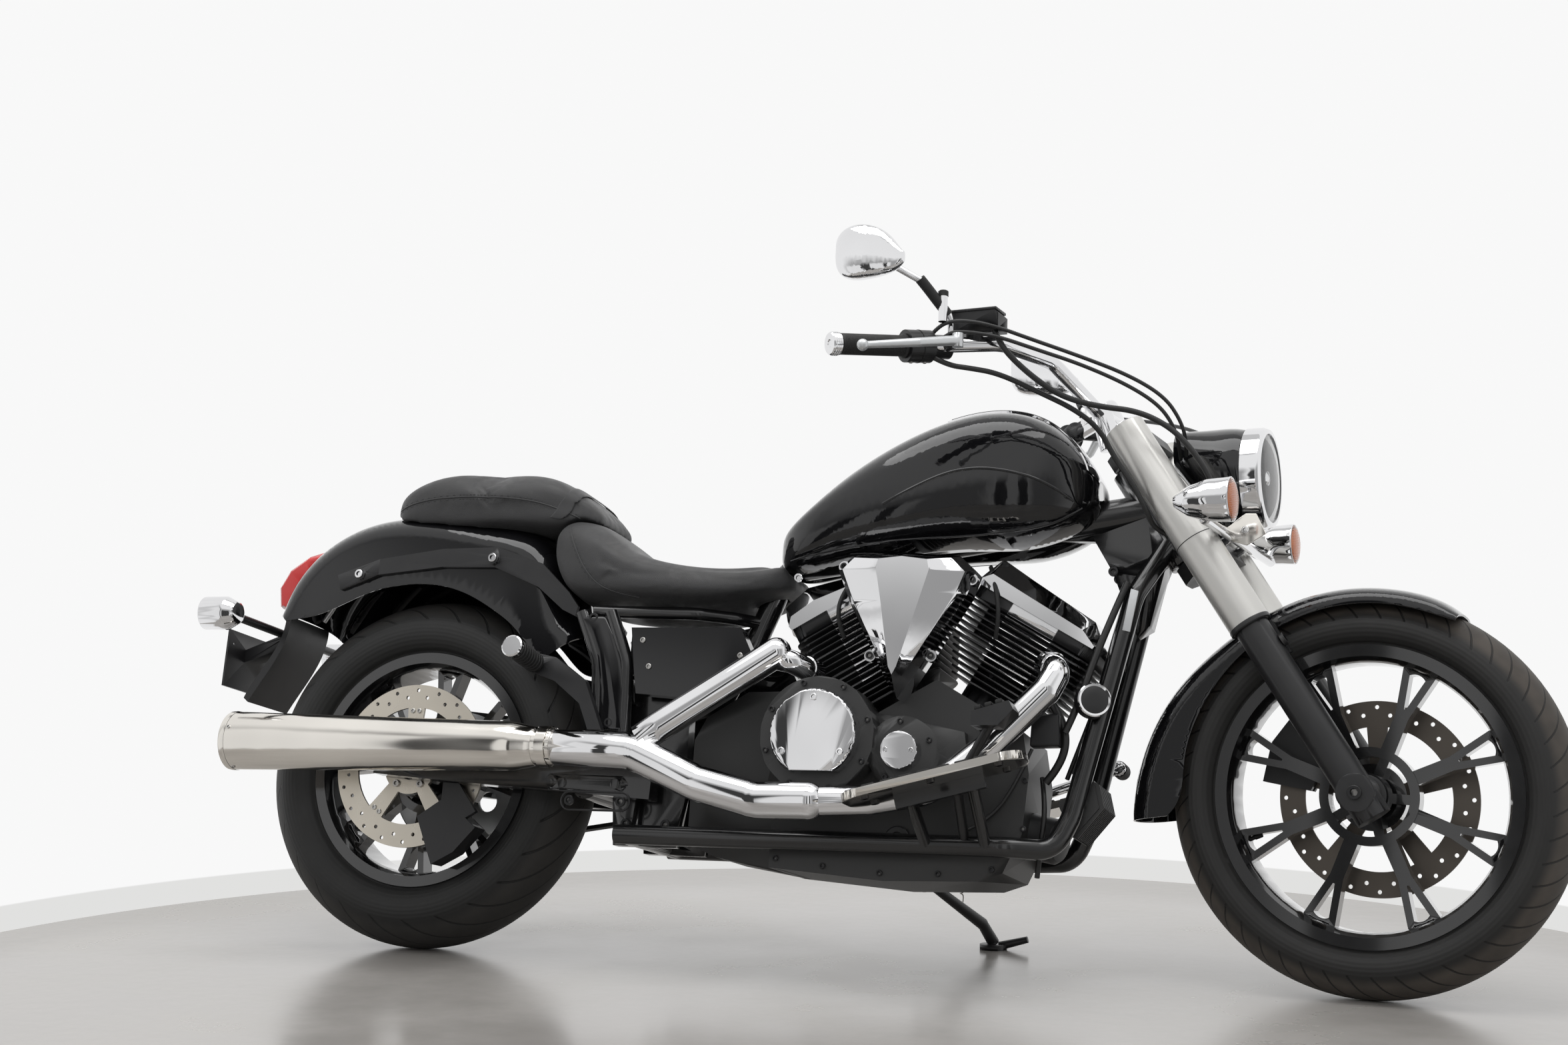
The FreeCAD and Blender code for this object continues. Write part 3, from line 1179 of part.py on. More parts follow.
def make_steering_details():
    """Headlight, signals, handlebar with its grips and controls, and mirrors."""
    centre, r = Vector(1500, 0, 850), s.headlight_radius
    profile = [(1528, r - 12), (1528, r - 4), (1520, r), (1496, r), (1486, r - 4)]
    ring = Part.makePolygon([Vector(x, 0, 850 + q) for x, q in [(1528, r - 11), (1528, r - 4), (1520, r), (1494, r), (1494, r - 11)] + [(1528, r - 11)]])
    ring = Part.Face(ring).revolve(centre, X, 360)
    feature("headlight_ring", ring, "fork")
    glass = Part.makePolygon([Vector(x, 0, 850 + q) for x, q in [(1512, 0), (1512, r - 11.2), (1522, r - 11.2), (1530, 45), (1534, 0), (1512, 0)]])
    feature("headlight_lens", Part.Face(glass).revolve(centre, X, 360), "fork")
    rows = [(1368, 30, 866, 934), (1376, 40, 858, 936), (1400, 56, 828, 937), (1440, 72, 792, 937), (1493.9, 82, 768, 932)]
    wires = []
    for x, half, low, high in rows:
        wires.append(ring_section(x, half, low, high, (low + high) / 2, 0.9))
    bucket = Part.makeLoft(wires, True, False)
    stalk = slab([(1432, 732.7), (1449, 743.2), (1452, 762), (1482, 792), (1440, 800)], -14, 14)
    feature("headlight_shell", bucket.fuse(stalk), "fork")
    out, high = 226, 774
    signals = [rod((1474, -out, 744), (1474, out, 744), 9)]
    signals += [rod((1474, y, 744), (1455.8, y, 732.6), 8) for y in (-50, 50)]
    for y in (-1, 1):
        shell = rod((1516, y * out, high), (1478, y * out, high), 36, 34)
        waist = rod((1478, y * out, high), (1446, y * out, high), 34, 24)
        back = rod((1446, y * out, high), (1424, y * out, high), 24, 9)
        signals += [shell, waist, back]
    feature("front_signals", signals[0].multiFuse(signals[1:]), "fork")
    half = [(1247, 60, 968), (1196, 168, 1036), (1150, 290, 1042), (1028, 398, 1022), (948, 500, 1007)]
    path = [(x, -y, z) for x, y, z in reversed(half)] + half
    bar = tube(path, s.bar_radius, 60)
    risers = [rod((1263.6, y, 907.1), (1247, y, 968), 19) for y in (-45, 45)]
    feature("handlebar", bar.multiFuse(risers), "fork")
    grips, controls, levers, mirrors = [], [], [], []
    outward = (Vector(948, 500, 1007) - Vector(1028, 398, 1022)).normalize()
    start = Vector(1028, 398, 1022) + outward * 6
    tip = Vector(948, 500, 1007)
    bore = rod(start - outward * 120, tip + outward * 4, s.bar_radius + 0.1)
    grip = rod(start, tip, s.grip_radius).fuse(rod(tip - outward * 2, tip + outward * 14, s.grip_radius + 1))
    feature("grips", both_sides(grip.cut(rod(start - outward * 30, tip + outward * 0.2, s.bar_radius + 0.1))), "fork")
    box_start = start - outward * 46
    housing = rod(box_start, start - outward * 0.2, 27)
    perch = rod(box_start - outward * 36, box_start, 20)
    whole_bar = tube(half, s.bar_radius + 0.1, 60)
    base = start - outward * 70
    ahead = outward.cross(Z).normalize()
    perch_arm = rod(base, base + ahead * 52, 11)
    controls = both_sides(housing.multiFuse([perch, perch_arm]).cut(whole_bar))
    reservoir = slab([(1084, 1056), (1078, 1088), (1156, 1088), (1162, 1082), (1162, 1056)], -340, -296)
    reservoir = reservoir.fuse(rod((1114, -320, 1040), (1114, -320, 1060), 14))
    reservoir = reservoir.cut(whole_bar.mirror(ORIGIN, Y))
    feature("hand_controls", Part.makeCompound(controls.Solids + [reservoir]), "fork")
    hinge = base + ahead * 52
    ball = tip - outward * 16 + ahead * 58 - Z * 14
    knee = hinge + (ball - hinge) * 0.45 + ahead * 9 - Z * 2
    blade = rod(hinge, knee, 8.5, 7.5).multiFuse([Part.makeSphere(7.5, knee), rod(knee, ball, 7.5, 5.5)])
    lever = rod(hinge + Z * 11.4, hinge - Z * 11.4, 9).multiFuse([blade, Part.makeSphere(9.5, ball)])
    lever = lever.cut(rod(base, base + ahead * 52, 11.2))
    feature("hand_levers", both_sides(lever), "fork")
    stem = tube([(1085, 352, 1042), (1084, 354, 1076), (1052, 398, 1128), (1012, 425, 1152)], 6, 16)
    rows = [
        (-64, 30, -20, 30, 2), (-52, 52, -38, 40, 0), (-24, 66, -47, 46, -2), (6, 64, -48, 40, -6),
        (36, 50, -46, 22, -14), (58, 30, -40, -2, -22), (70, 12, -32, -14, -24),
    ]
    shell = section_loft([(x, half * 0.34, low, high, mid) for x, half, low, high, mid in rows], 0.7)
    shell.Placement = Placement(Vector(972, 436, 1180), Rotation(Z, 14))
    room = housing.multiFuse([perch, perch_arm, whole_bar])
    feature("mirrors", both_sides(shell.fuse(stem.cut(room))), "fork")


CABLES = (
    ("upper_throttle_cable", 6.5, (
        (1058, -370, 1046), (1074, -372, 1062), (1104, -364, 1068), (1150, -349, 1061), (1208, -300, 1042),
        (1273, -250, 1021), (1342, -200, 995), (1387, -152, 967), (1404, -116, 934), (1406, -86, 906), (1399, -60, 884),
    )),
    ("lower_throttle_cable", 6.5, (
        (1066, -368, 1030), (1086, -368, 1048), (1116, -362, 1048), (1160, -343, 1042), (1214, -294, 1026),
        (1273, -250, 1008), (1336, -200, 981), (1376, -152, 955), (1391, -116, 928), (1394, -86, 900), (1388, -54, 880),
    )),
    ("front_brake_hose", 10, (
        (1148, -326, 1062), (1156, -326, 1044), (1170, -318, 1018), (1202, -288, 984), (1240, -246, 956),
        (1292, -208, 944), (1348, -178, 940), (1398, -158, 914), (1434, -150, 874), (1460, -142, 830),
        (1464, -106, 792), (1452, -60, 776), (1446, -12, 771),
    )),
    ("switch_loom", 9, (
        (1060, -370, 1008), (1084, -362, 994), (1114, -340, 992), (1152, -308, 988), (1204, -262, 964),
        (1254, -220, 940), (1286, -184, 912), (1304, -162, 868), (1334, -150, 822), (1352, -136, 780),
        (1356, -112, 757), (1378, -84, 743), (1416, -58, 727),
    )),
    ("clutch_cable", 7, (
        (1058, 370, 1046), (1074, 372, 1060), (1106, 362, 1062), (1152, 336, 1052), (1210, 292, 1034),
        (1273, 246, 1014), (1338, 198, 988), (1382, 150, 960), (1400, 114, 930), (1404, 86, 904), (1399, 60, 884),
    )),
)


def cable(diameter, points):
    """A free cable: straight runs joined by arcs, each as wide as the shorter of its runs allows."""
    spots = [Vector(*p) for p in points]
    edges, last = [], spots[0]
    for before, here, after in zip(spots, spots[1:], spots[2:]):
        reach = 0.45 * min((here - before).Length, (after - here).Length)
        came, goes = (here - before).normalize(), (after - here).normalize()
        half = came.getAngle(goes) / 2
        radius = reach / math.tan(half)
        inward = (goes - came).normalize()
        start, end = here - came * reach, here + goes * reach
        middle = here + inward * (radius / math.cos(half) - radius)
        edges += [Part.LineSegment(last, start).toShape(), Part.Arc(start, middle, end).toShape()]
        last = end
    edges.append(Part.LineSegment(last, spots[-1]).toShape())
    ring = Part.Wire(Part.makeCircle(diameter / 2, spots[0], spots[1] - spots[0]))
    return Part.Wire(edges).makePipeShell([ring], True, False)


def make_cables():
    """The cables and the hose, each cut off where it goes into what it serves."""
    names = ("handlebar", "hand_controls", "headlight_shell", "fork_clamps")
    room = Part.makeCompound([NODES[name][0].Shape.copy() for name in names])
    room.Placement = Placement()
    for name, diameter, points in CABLES:
        pieces = cable(diameter, points).cut(room).Solids
        feature(name, max(pieces, key=lambda piece: piece.Volume), "fork")


def stand_axis():
    """The side stand's hinge axis, square to the leg both down and folded back along the frame."""
    down = Vector(95, 168, -108).normalize()
    back = Vector(-0.99, 0.12, 0.05).normalize()
    return down.cross(back).normalize()


def make_stand():
    """The side stand, swung down, its foot flat on the floor, and the fork-shaped bracket that holds it."""
    pivot = Vector(s.stand_pivot_x, s.stand_pivot_side, s.stand_pivot_z)
    axis = stand_axis()
    up = CHASSIS.Rotation.inverted().multVec(Z)
    ground = CHASSIS.inverse().multVec(ORIGIN)
    reach = Vector(pivot.x + 95, pivot.y + 168, 0)
    foot = reach + Z * ((ground - reach).dot(up) / up.z)
    eye = rod(pivot - axis * 10, pivot + axis * 10, 18)
    knee = foot + Vector(-14, -34, 42)
    leg = rod(pivot, knee, 7.5, 11).fuse(rod(knee, foot + up * 12, 10, 11))
    pad = Part.makeCylinder(s.foot_radius, 9, foot, up)
    toe = rod(foot + up * 6 + Vector(12, 0, 0), foot + up * 20 + Vector(64, 0, 0), 8, 6)
    shape = eye.multiFuse([leg, pad, Part.makeSphere(10, knee), toe])
    feature("side_stand", shape.cut(rod(pivot - axis * 40, pivot + axis * 40, 8.05)))
    inward = (axis * Y.dot(axis) - Y).normalize()
    frame = Placement(pivot, Rotation(inward, axis.cross(inward), axis, "XYZ"))
    ears = [Part.makeBox(48, 36, 6, Vector(0, -18, at)) for at in (10.4, -16.4)]
    ears += [Part.makeCylinder(18, 6, Vector(0, 0, at)) for at in (10.4, -16.4)]
    block = Part.makeBox(26, 36, 32.8, Vector(22, -18, -16.4))
    pin = Part.makeCylinder(8, 42, Vector(0, 0, -21)).fuse(Part.makeCylinder(13, 6, Vector(0, 0, 16.4)))
    bracket = block.multiFuse(ears + [pin])
    bracket.Placement = frame
    rail = rod((600, s.rail_side, s.rail_height), (1109, s.rail_side, s.rail_height), s.tube_radius + 0.1)
    feature("stand_bracket", bracket.cut(rail))


# Putting it together


def settle():
    """Places each piece in its pose, with the whole machine centred over the origin."""
    DOC.recompute()
    whole = FreeCAD.BoundBox()
    for thing, pose, place in NODES.values():
        thing.Placement = POSES[pose] * place
        whole.add(thing.Shape.optimalBoundingBox(True, False))
    shift = Placement(Vector(-whole.Center.x, -whole.Center.y, 0), Rotation())
    for thing, pose, place in NODES.values():
        thing.Placement = shift * POSES[pose] * place
    DOC.recompute()
    return shift, whole


def check():
    """Stops on any object in error and on any piece that isn't a valid closed solid."""
    for thing in DOC.Objects:
        if "Invalid" in thing.State or "Error" in thing.State:
            raise RuntimeError(f"{thing.Label} is in error: {thing.State}")
    for name, (thing, _, _) in NODES.items():
        shape = thing.Shape
        if shape.isNull() or not shape.isValid() or not shape.Solids:
            raise RuntimeError(f"{name} has no valid solid")


def export():
    """Writes each piece as one STEP file, in place."""
    os.makedirs("parts", exist_ok=True)
    for name, (thing, _, _) in NODES.items():
        thing.Shape.exportStep(f"parts/{name}.step")


make_wheels()
make_frame()
make_swingarm()
make_belt()
make_engine()
make_exhaust()
make_bodywork()
make_rear_details()
make_fork()
make_steering_details()
make_cables()
make_stand()
SHIFT, WHOLE = settle()
check()
export()
print(len(NODES), "pieces,", round(WHOLE.XLength), round(WHOLE.YLength), round(WHOLE.ZMax))
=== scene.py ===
"""Dresses the parked cruiser motorcycle: finishes, upholstery, lamps, trim and cables, in a plain studio.

Places are given on the upright machine in millimetres, as a workshop drawing has them: X forward from the
rear axle, Y to the rider's left, Z up from the floor. A stance carries them to where each body really stands.
"""

import json
import logging
import math
from contextlib import contextmanager
from dataclasses import dataclass
from enum import Enum
from typing import Callable, Iterable, Iterator, Optional, Sequence

import bpy
from mathutils import Matrix, Vector
from mathutils.bvhtree import BVHTree

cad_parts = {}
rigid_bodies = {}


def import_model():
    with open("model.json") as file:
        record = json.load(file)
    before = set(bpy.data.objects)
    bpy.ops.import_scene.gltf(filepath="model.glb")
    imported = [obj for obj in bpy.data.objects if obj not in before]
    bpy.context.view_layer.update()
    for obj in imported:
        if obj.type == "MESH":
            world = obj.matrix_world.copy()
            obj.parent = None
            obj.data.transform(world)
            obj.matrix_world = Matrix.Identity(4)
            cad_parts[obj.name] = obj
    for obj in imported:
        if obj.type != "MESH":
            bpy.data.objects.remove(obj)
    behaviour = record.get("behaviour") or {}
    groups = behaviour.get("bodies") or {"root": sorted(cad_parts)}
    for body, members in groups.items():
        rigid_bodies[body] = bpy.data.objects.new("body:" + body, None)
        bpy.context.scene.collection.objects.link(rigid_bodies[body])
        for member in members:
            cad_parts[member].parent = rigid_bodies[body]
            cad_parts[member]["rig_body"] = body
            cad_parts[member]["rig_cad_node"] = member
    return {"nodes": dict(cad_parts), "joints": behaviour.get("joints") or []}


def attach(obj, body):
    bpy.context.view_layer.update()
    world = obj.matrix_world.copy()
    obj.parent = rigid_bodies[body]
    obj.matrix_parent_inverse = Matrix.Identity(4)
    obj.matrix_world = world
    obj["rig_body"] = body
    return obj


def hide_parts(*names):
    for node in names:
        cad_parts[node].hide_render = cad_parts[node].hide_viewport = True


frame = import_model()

LOG = logging.getLogger("cruiser")
MM = 0.001
RAKE = math.radians(32)
BANK = math.radians(30)
WHEELBASE = 1685.0
FRONT_RADIUS = 319.5
REAR_RADIUS = 322.0
FRONT_AXLE = (WHEELBASE, 0.0, FRONT_RADIUS)
REAR_AXLE = (0.0, 0.0, REAR_RADIUS)
CRANK = (983.0, 0.0, 340.0)
FORK_SIDE = 109.0
SIDES = ((-1, "right"), (1, "left"))
AHEAD = (1, 0, 0)
LEFT = (0, 1, 0)
RIGHT = (0, -1, 0)
UP = (0, 0, 1)
CREASE = 33.0
ROUND = 60.0

Point = tuple[float, float, float]
Colour = tuple[float, float, float]


class Body(Enum):
    """The bodies that move as one."""

    CHASSIS = "chassis"
    FORK = "fork"
    FRONT_WHEEL = "front_wheel"
    REAR_WHEEL = "rear_wheel"
    STAND = "side_stand"


class Slot(Enum):
    """The finishes that the record names."""

    GLOSS = "gloss_black"
    SATIN = "satin_black"
    ENGINE = "engine_black"
    CHROME = "chrome"
    NICKEL = "brushed_nickel"
    STEEL = "brushed_steel"
    ALUMINIUM = "cast_aluminium"
    TYRE = "tyre"
    RUBBER = "rubber"
    LEATHER = "leather"
    PLASTIC = "black_plastic"
    RED = "red_lens"
    LENS = "lens"


# Where the bodies stand


@dataclass(frozen=True)
class Stance:
    """The place of a body drawn upright."""

    matrix: Matrix

    @classmethod
    def from_joints(cls, axle: dict, steering: dict, axle_x: float, axle_z: float) -> "Stance":
        """Works the stance out from a wheel's joint and the steering's.

        Args:
            axle: The wheel's joint, whose axis is the body's Y.
            steering: The steering joint, whose axis is raked back from the body's Z.
            axle_x: The axle's X on the upright machine.
            axle_z: The axle's height on the upright machine.

        Returns:
            The stance of the body that holds that axle.
        """
        side = Vector(axle["axis"]).normalized()
        raked = Vector(steering["axis"])
        raked = (raked - side * raked.dot(side)).normalized()
        ahead = side.cross(raked)
        forward = ahead * math.cos(RAKE) - raked * math.sin(RAKE)
        up = raked * math.cos(RAKE) + ahead * math.sin(RAKE)
        turn = Matrix((forward, side, up)).transposed().to_4x4()
        origin = Vector(axle["pos_m"]) - forward * axle_x * MM - up * axle_z * MM
        return cls(Matrix.Translation(origin) @ turn)

    def at(self, point: Sequence[float]) -> Vector:
        """Where a point of the upright machine stands in the scene, in metres."""
        return self.matrix @ (Vector(point) * MM)


JOINTS = {joint["name"]: joint for joint in frame["joints"]}
CHASSIS_STANCE = Stance.from_joints(JOINTS["rear_wheel_spin"], JOINTS["steering"], 0.0, REAR_RADIUS)
FORK_STANCE = Stance.from_joints(JOINTS["front_wheel_spin"], JOINTS["steering"], WHEELBASE, FRONT_RADIUS)
STANCES = {
    Body.CHASSIS: CHASSIS_STANCE,
    Body.REAR_WHEEL: CHASSIS_STANCE,
    Body.STAND: CHASSIS_STANCE,
    Body.FORK: FORK_STANCE,
    Body.FRONT_WHEEL: FORK_STANCE,
}


# Node trees


class Graph:
    """A short hand for building a tree of shader nodes."""

    def __init__(self, tree: bpy.types.NodeTree) -> None:
        """Starts with an empty tree."""
        self.tree = tree
        tree.nodes.clear()

    def add(self, kind: str, **settings) -> bpy.types.Node:
        """Adds a node and sets its properties.

        Args:
            kind: The node's type without its ShaderNode prefix.
            **settings: Properties of the node.

        Returns:
            The new node.
        """
        node = self.tree.nodes.new("ShaderNode" + kind)
        for name, value in settings.items():
            setattr(node, name, value)
        return node

    def feed(self, node: bpy.types.Node, **inputs) -> bpy.types.Node:
        """Fills a node's sockets with values or links.

        Args:
            node: The node to feed.
            **inputs: Socket names, an underscore for each space, or n and a number for a socket's place.

        Returns:
            The same node.
        """
        for name, value in inputs.items():
            place = int(name[1:]) if name[0] == "n" and name[1:].isdigit() else name.replace("_", " ")
            socket = node.inputs[place]
            if isinstance(value, bpy.types.NodeSocket):
                self.tree.links.new(value, socket)
            else:
                socket.default_value = value
        return node

    def sum(self, operation: str, *terms) -> bpy.types.NodeSocket:
        """The result of a Math node on values or sockets."""
        node = self.add("Math", operation=operation)
        for place, term in enumerate(terms):
            self.feed(node, **{f"n{place}": term})
        return node.outputs[0]

    def product(self, first, *others) -> bpy.types.NodeSocket:
        """The product of several values or sockets."""
        for other in others:
            first = self.sum("MULTIPLY", first, other)
        return first

    def total(self, first, *others) -> bpy.types.NodeSocket:
        """The total of several values or sockets."""
        for other in others:
            first = self.sum("ADD", first, other)
        return first

    def axes(self, vector) -> Sequence[bpy.types.NodeSocket]:
        """The three parts of a vector."""
        return self.feed(self.add("SeparateXYZ"), n0=vector).outputs

    def noise(self, vector, scale, detail: float = 2.0, **others) -> bpy.types.NodeSocket:
        """The value of a noise texture."""
        node = self.feed(self.add("TexNoise"), Vector=vector, Scale=scale, Detail=detail, **others)
        return node.outputs[0]

    def remap(self, value, low: float, high: float, out_low: float = 0.0, out_high: float = 1.0):
        """The value smoothly mapped from one span to another."""
        node = self.add("MapRange", interpolation_type="SMOOTHSTEP")
        self.feed(node, n0=value, n1=low, n2=high, n3=out_low, n4=out_high)
        return node.outputs[0]

    def blend(self, factor, first, second) -> bpy.types.NodeSocket:
        """The mix of two colours."""
        node = self.add("Mix", data_type="RGBA")
        self.feed(node, n0=factor, n6=first, n7=second)
        return node.outputs[2]

    def place(self, scale: Point = (1.0, 1.0, 1.0), turn: Optional[Matrix] = None, centre: Point = (0, 0, 0)):
        """Object coordinates carried to a piece's own upright axes.

        Args:
            scale: The scale along each axis, after the turn.
            turn: The stance whose axes are wanted.
            centre: The upright point, in millimetres, that becomes the origin.

        Returns:
            The vector socket.
        """
        where = self.add("TexCoord").outputs["Object"]
        if turn is not None:
            inverse = turn.inverted()
            node = self.add("Mapping", vector_type="POINT")
            shift = inverse.to_translation() - Vector(centre) * MM
            self.feed(node, n0=where, Location=shift, Rotation=inverse.to_euler())
            where = node.outputs[0]
        node = self.add("Mapping", vector_type="POINT")
        self.feed(node, n0=where, Scale=scale)
        return node.outputs[0]


def make_group(
    name: str, inputs: Sequence[str], outputs: Sequence[str], build: Callable
) -> bpy.types.NodeTree:
    """Builds a shared effect.

    Args:
        name: The group's name.
        inputs: The names of its input sockets, of which Place is a vector.
        outputs: The names of its output sockets.
        build: Draws the inside from the graph, its inputs and its output node.

    Returns:
        The node group.
    """
    tree = bpy.data.node_groups.new(name, "ShaderNodeTree")
    for way, sockets in (("INPUT", inputs), ("OUTPUT", outputs)):
        for socket in sockets:
            kind = "NodeSocketVector" if socket == "Place" else "NodeSocketFloat"
            tree.interface.new_socket(name=socket, in_out=way, socket_type=kind)
    graph = Graph(tree)
    inlet = tree.nodes.new("NodeGroupInput")
    build(graph, inlet.outputs, tree.nodes.new("NodeGroupOutput"))
    return tree


def draw_grain(graph: Graph, inputs, outlet) -> None:
    """Fine grain: a height and a slow variation."""
    fine = graph.noise(inputs["Place"], inputs["Scale"], 4.0)
    slow = graph.noise(inputs["Place"], graph.product(inputs["Scale"], 0.02))
    graph.feed(outlet, Height=fine, Variation=slow)


def draw_wear(graph: Graph, inputs, outlet) -> None:
    """Wear where the surface is sharpest, broken up by noise."""
    edge = graph.remap(graph.add("NewGeometry").outputs["Pointiness"], 0.57, 0.66)
    broken = graph.remap(graph.noise(inputs["Place"], 90.0, 5.0), 0.42, 0.62)
    graph.feed(outlet, Mask=graph.product(edge, broken, inputs["Amount"]))


def draw_dust(graph: Graph, inputs, outlet) -> None:
    """Dust that settles on what faces up, and in patches."""
    up = graph.remap(graph.axes(graph.add("NewGeometry").outputs["Normal"])[2], 0.1, 1.0)
    patch = graph.remap(graph.noise(inputs["Place"], 14.0, 8.0, Roughness=0.7), 0.4, 0.75)
    graph.feed(outlet, Mask=graph.product(up, patch, inputs["Amount"]))


def draw_hide(graph: Graph, inputs, outlet) -> None:
    """Leather grain: small pebbles with creases between them."""
    cells = graph.add("TexVoronoi", feature="DISTANCE_TO_EDGE")
    graph.feed(cells, Vector=inputs["Place"], Scale=inputs["Scale"])
    folds = graph.noise(inputs["Place"], 26.0, 6.0, Distortion=1.2)
    pebble = graph.remap(cells.outputs["Distance"], 0.0, 0.18)
    height = graph.total(graph.product(pebble, 0.6), graph.product(folds, 0.8))
    graph.feed(outlet, Height=height, Variation=folds)


GRAIN = make_group("fine_grain", ("Place", "Scale"), ("Height", "Variation"), draw_grain)
WEAR = make_group("edge_wear", ("Place", "Amount"), ("Mask",), draw_wear)
DUST = make_group("settled_dust", ("Place", "Amount"), ("Mask",), draw_dust)
HIDE = make_group("hide_grain", ("Place", "Scale"), ("Height", "Variation"), draw_hide)


def blank(name: str) -> tuple[bpy.types.Material, Graph]:
    """A new material and its empty graph."""
    material = bpy.data.materials.new(name)
    material.use_nodes = True
    return material, Graph(material.node_tree)


# Finishes


@dataclass(frozen=True)
class Finish:
    """A painted, plated, cast or moulded surface."""

    name: str
    slot: Slot
    colour: Colour
    roughness: float
    metallic: float = 0.0
    coat: float = 0.0
    coat_roughness: float = 0.03
    specular: float = 0.5
    grain: float = 900.0
    depth: float = 0.00002
    spread: float = 0.06
    stretch: Point = (1.0, 1.0, 1.0)
    wear: float = 0.0
    bare: Colour = (0.45, 0.44, 0.42)
    dust: float = 0.0
    dusty: Colour = (0.30, 0.27, 0.23)
    edge_shade: float = 0.0

    def material(self) -> bpy.types.Material:
        """The material of this finish, built the first time it is asked for."""
        made = bpy.data.materials.get(self.name)
        if made is None:
            made, graph = blank(self.name)
            outlet = graph.add("OutputMaterial")
            shader = graph.add("BsdfPrincipled")
            graph.feed(outlet, Surface=shader.outputs[0])
            self.draw(graph, shader)
        return made

    def effect(self, graph: Graph, group: bpy.types.NodeTree, **inputs) -> bpy.types.Node:
        """Places one of the shared effects in the graph."""
        node = graph.add("Group")
        node.node_tree = group
        return graph.feed(node, **inputs)

    def bump(self, graph: Graph, height, distance: float) -> bpy.types.NodeSocket:
        """The normal that a height gives."""
        return graph.feed(graph.add("Bump"), Height=height, Distance=distance, Strength=1.0).outputs[0]

    def settle(self, graph: Graph, spot, colour) -> tuple[bpy.types.NodeSocket, bpy.types.NodeSocket]:
        """The colour with dust on it, and where the dust lies."""
        mask = self.effect(graph, DUST, Place=spot, Amount=self.dust).outputs[0]
        return graph.blend(mask, colour, (*self.dusty, 1.0)), mask

    def tint(self, graph: Graph, grain: bpy.types.Node) -> bpy.types.NodeSocket:
        """The colour, a little darker and lighter over the surface."""
        dark = tuple(part * 0.86 for part in self.colour)
        light = tuple(min(part * 1.12, 1.0) for part in self.colour)
        return graph.blend(grain.outputs["Variation"], (*dark, 1.0), (*light, 1.0))

    def draw(self, graph: Graph, shader: bpy.types.Node) -> None:
        """Draws grain, roughness, wear and dust into the shader."""
        spot = graph.place()
        grain = self.effect(graph, GRAIN, Place=graph.place(self.stretch), Scale=self.grain)
        colour = self.tint(graph, grain)
        if self.edge_shade:
            away = graph.remap(graph.add("LayerWeight").outputs["Facing"], 0.2, 0.8, 0.0, self.edge_shade)
            colour = graph.blend(away, colour, (*[part * 0.2 for part in self.colour], 1.0))
        smoothest, roughest = max(self.roughness - self.spread, 0.01), self.roughness + self.spread
        roughness = graph.remap(grain.outputs["Variation"], 0.3, 0.7, smoothest, roughest)
        metallic = self.metallic
        if self.wear:
            mask = self.effect(graph, WEAR, Place=spot, Amount=self.wear).outputs[0]
            colour = graph.blend(mask, colour, (*self.bare, 1.0))
            metallic = graph.remap(mask, 0.0, 1.0, self.metallic, 1.0)
        if self.dust:
            colour, mask = self.settle(graph, spot, colour)
            roughness = graph.sum("MAXIMUM", roughness, graph.product(mask, 0.8))
        normal = self.bump(graph, grain.outputs["Height"], self.depth)
        graph.feed(shader, Base_Color=colour, Roughness=roughness, Metallic=metallic, Normal=normal)
        graph.feed(shader, Coat_Weight=self.coat, Coat_Roughness=self.coat_roughness)
        graph.feed(shader, Specular_IOR_Level=self.specular)


@dataclass(frozen=True)
class Hide(Finish):
    """Upholstery leather with pebble grain and a soft sheen."""

    def draw(self, graph: Graph, shader: bpy.types.Node) -> None:
        """Draws the pebbles, creases, a roughness that changes with the folds, and a soft sheen."""
        spot = graph.place()
        hide = self.effect(graph, HIDE, Place=spot, Scale=self.grain)
        colour, _ = self.settle(graph, spot, self.tint(graph, hide))
        smoothest, roughest = self.roughness - 0.07, self.roughness + 0.09
        roughness = graph.remap(hide.outputs["Variation"], 0.3, 0.7, smoothest, roughest)
        normal = self.bump(graph, hide.outputs["Height"], self.depth)
        graph.feed(shader, Base_Color=colour, Roughness=roughness, Normal=normal)
        graph.feed(shader, Specular_IOR_Level=self.specular, Sheen_Weight=0.12, Sheen_Roughness=0.4)


@dataclass(frozen=True)
class Glass(Finish):
    """Clear or tinted moulded lens, plain or fluted."""

    flutes: float = 0.0
    flute_depth: float = 0.0006

    def draw(self, graph: Graph, shader: bpy.types.Node) -> None:
        """Draws a transmitting shader whose flutes are a bump."""
        spot = graph.place()
        lighter = [min(part * 1.04, 1.0) for part in self.colour]
        tone = graph.blend(graph.noise(spot, 6.0), (*self.colour, 1.0), (*lighter, 1.0))
        graph.feed(shader, Base_Color=tone, Roughness=self.roughness, Transmission_Weight=0.92, IOR=1.45)
        if self.flutes:
            waves = graph.feed(graph.add("TexWave", bands_direction="Z"), Vector=spot, Scale=self.flutes)
            graph.feed(shader, Normal=self.bump(graph, waves.outputs[1], self.flute_depth))


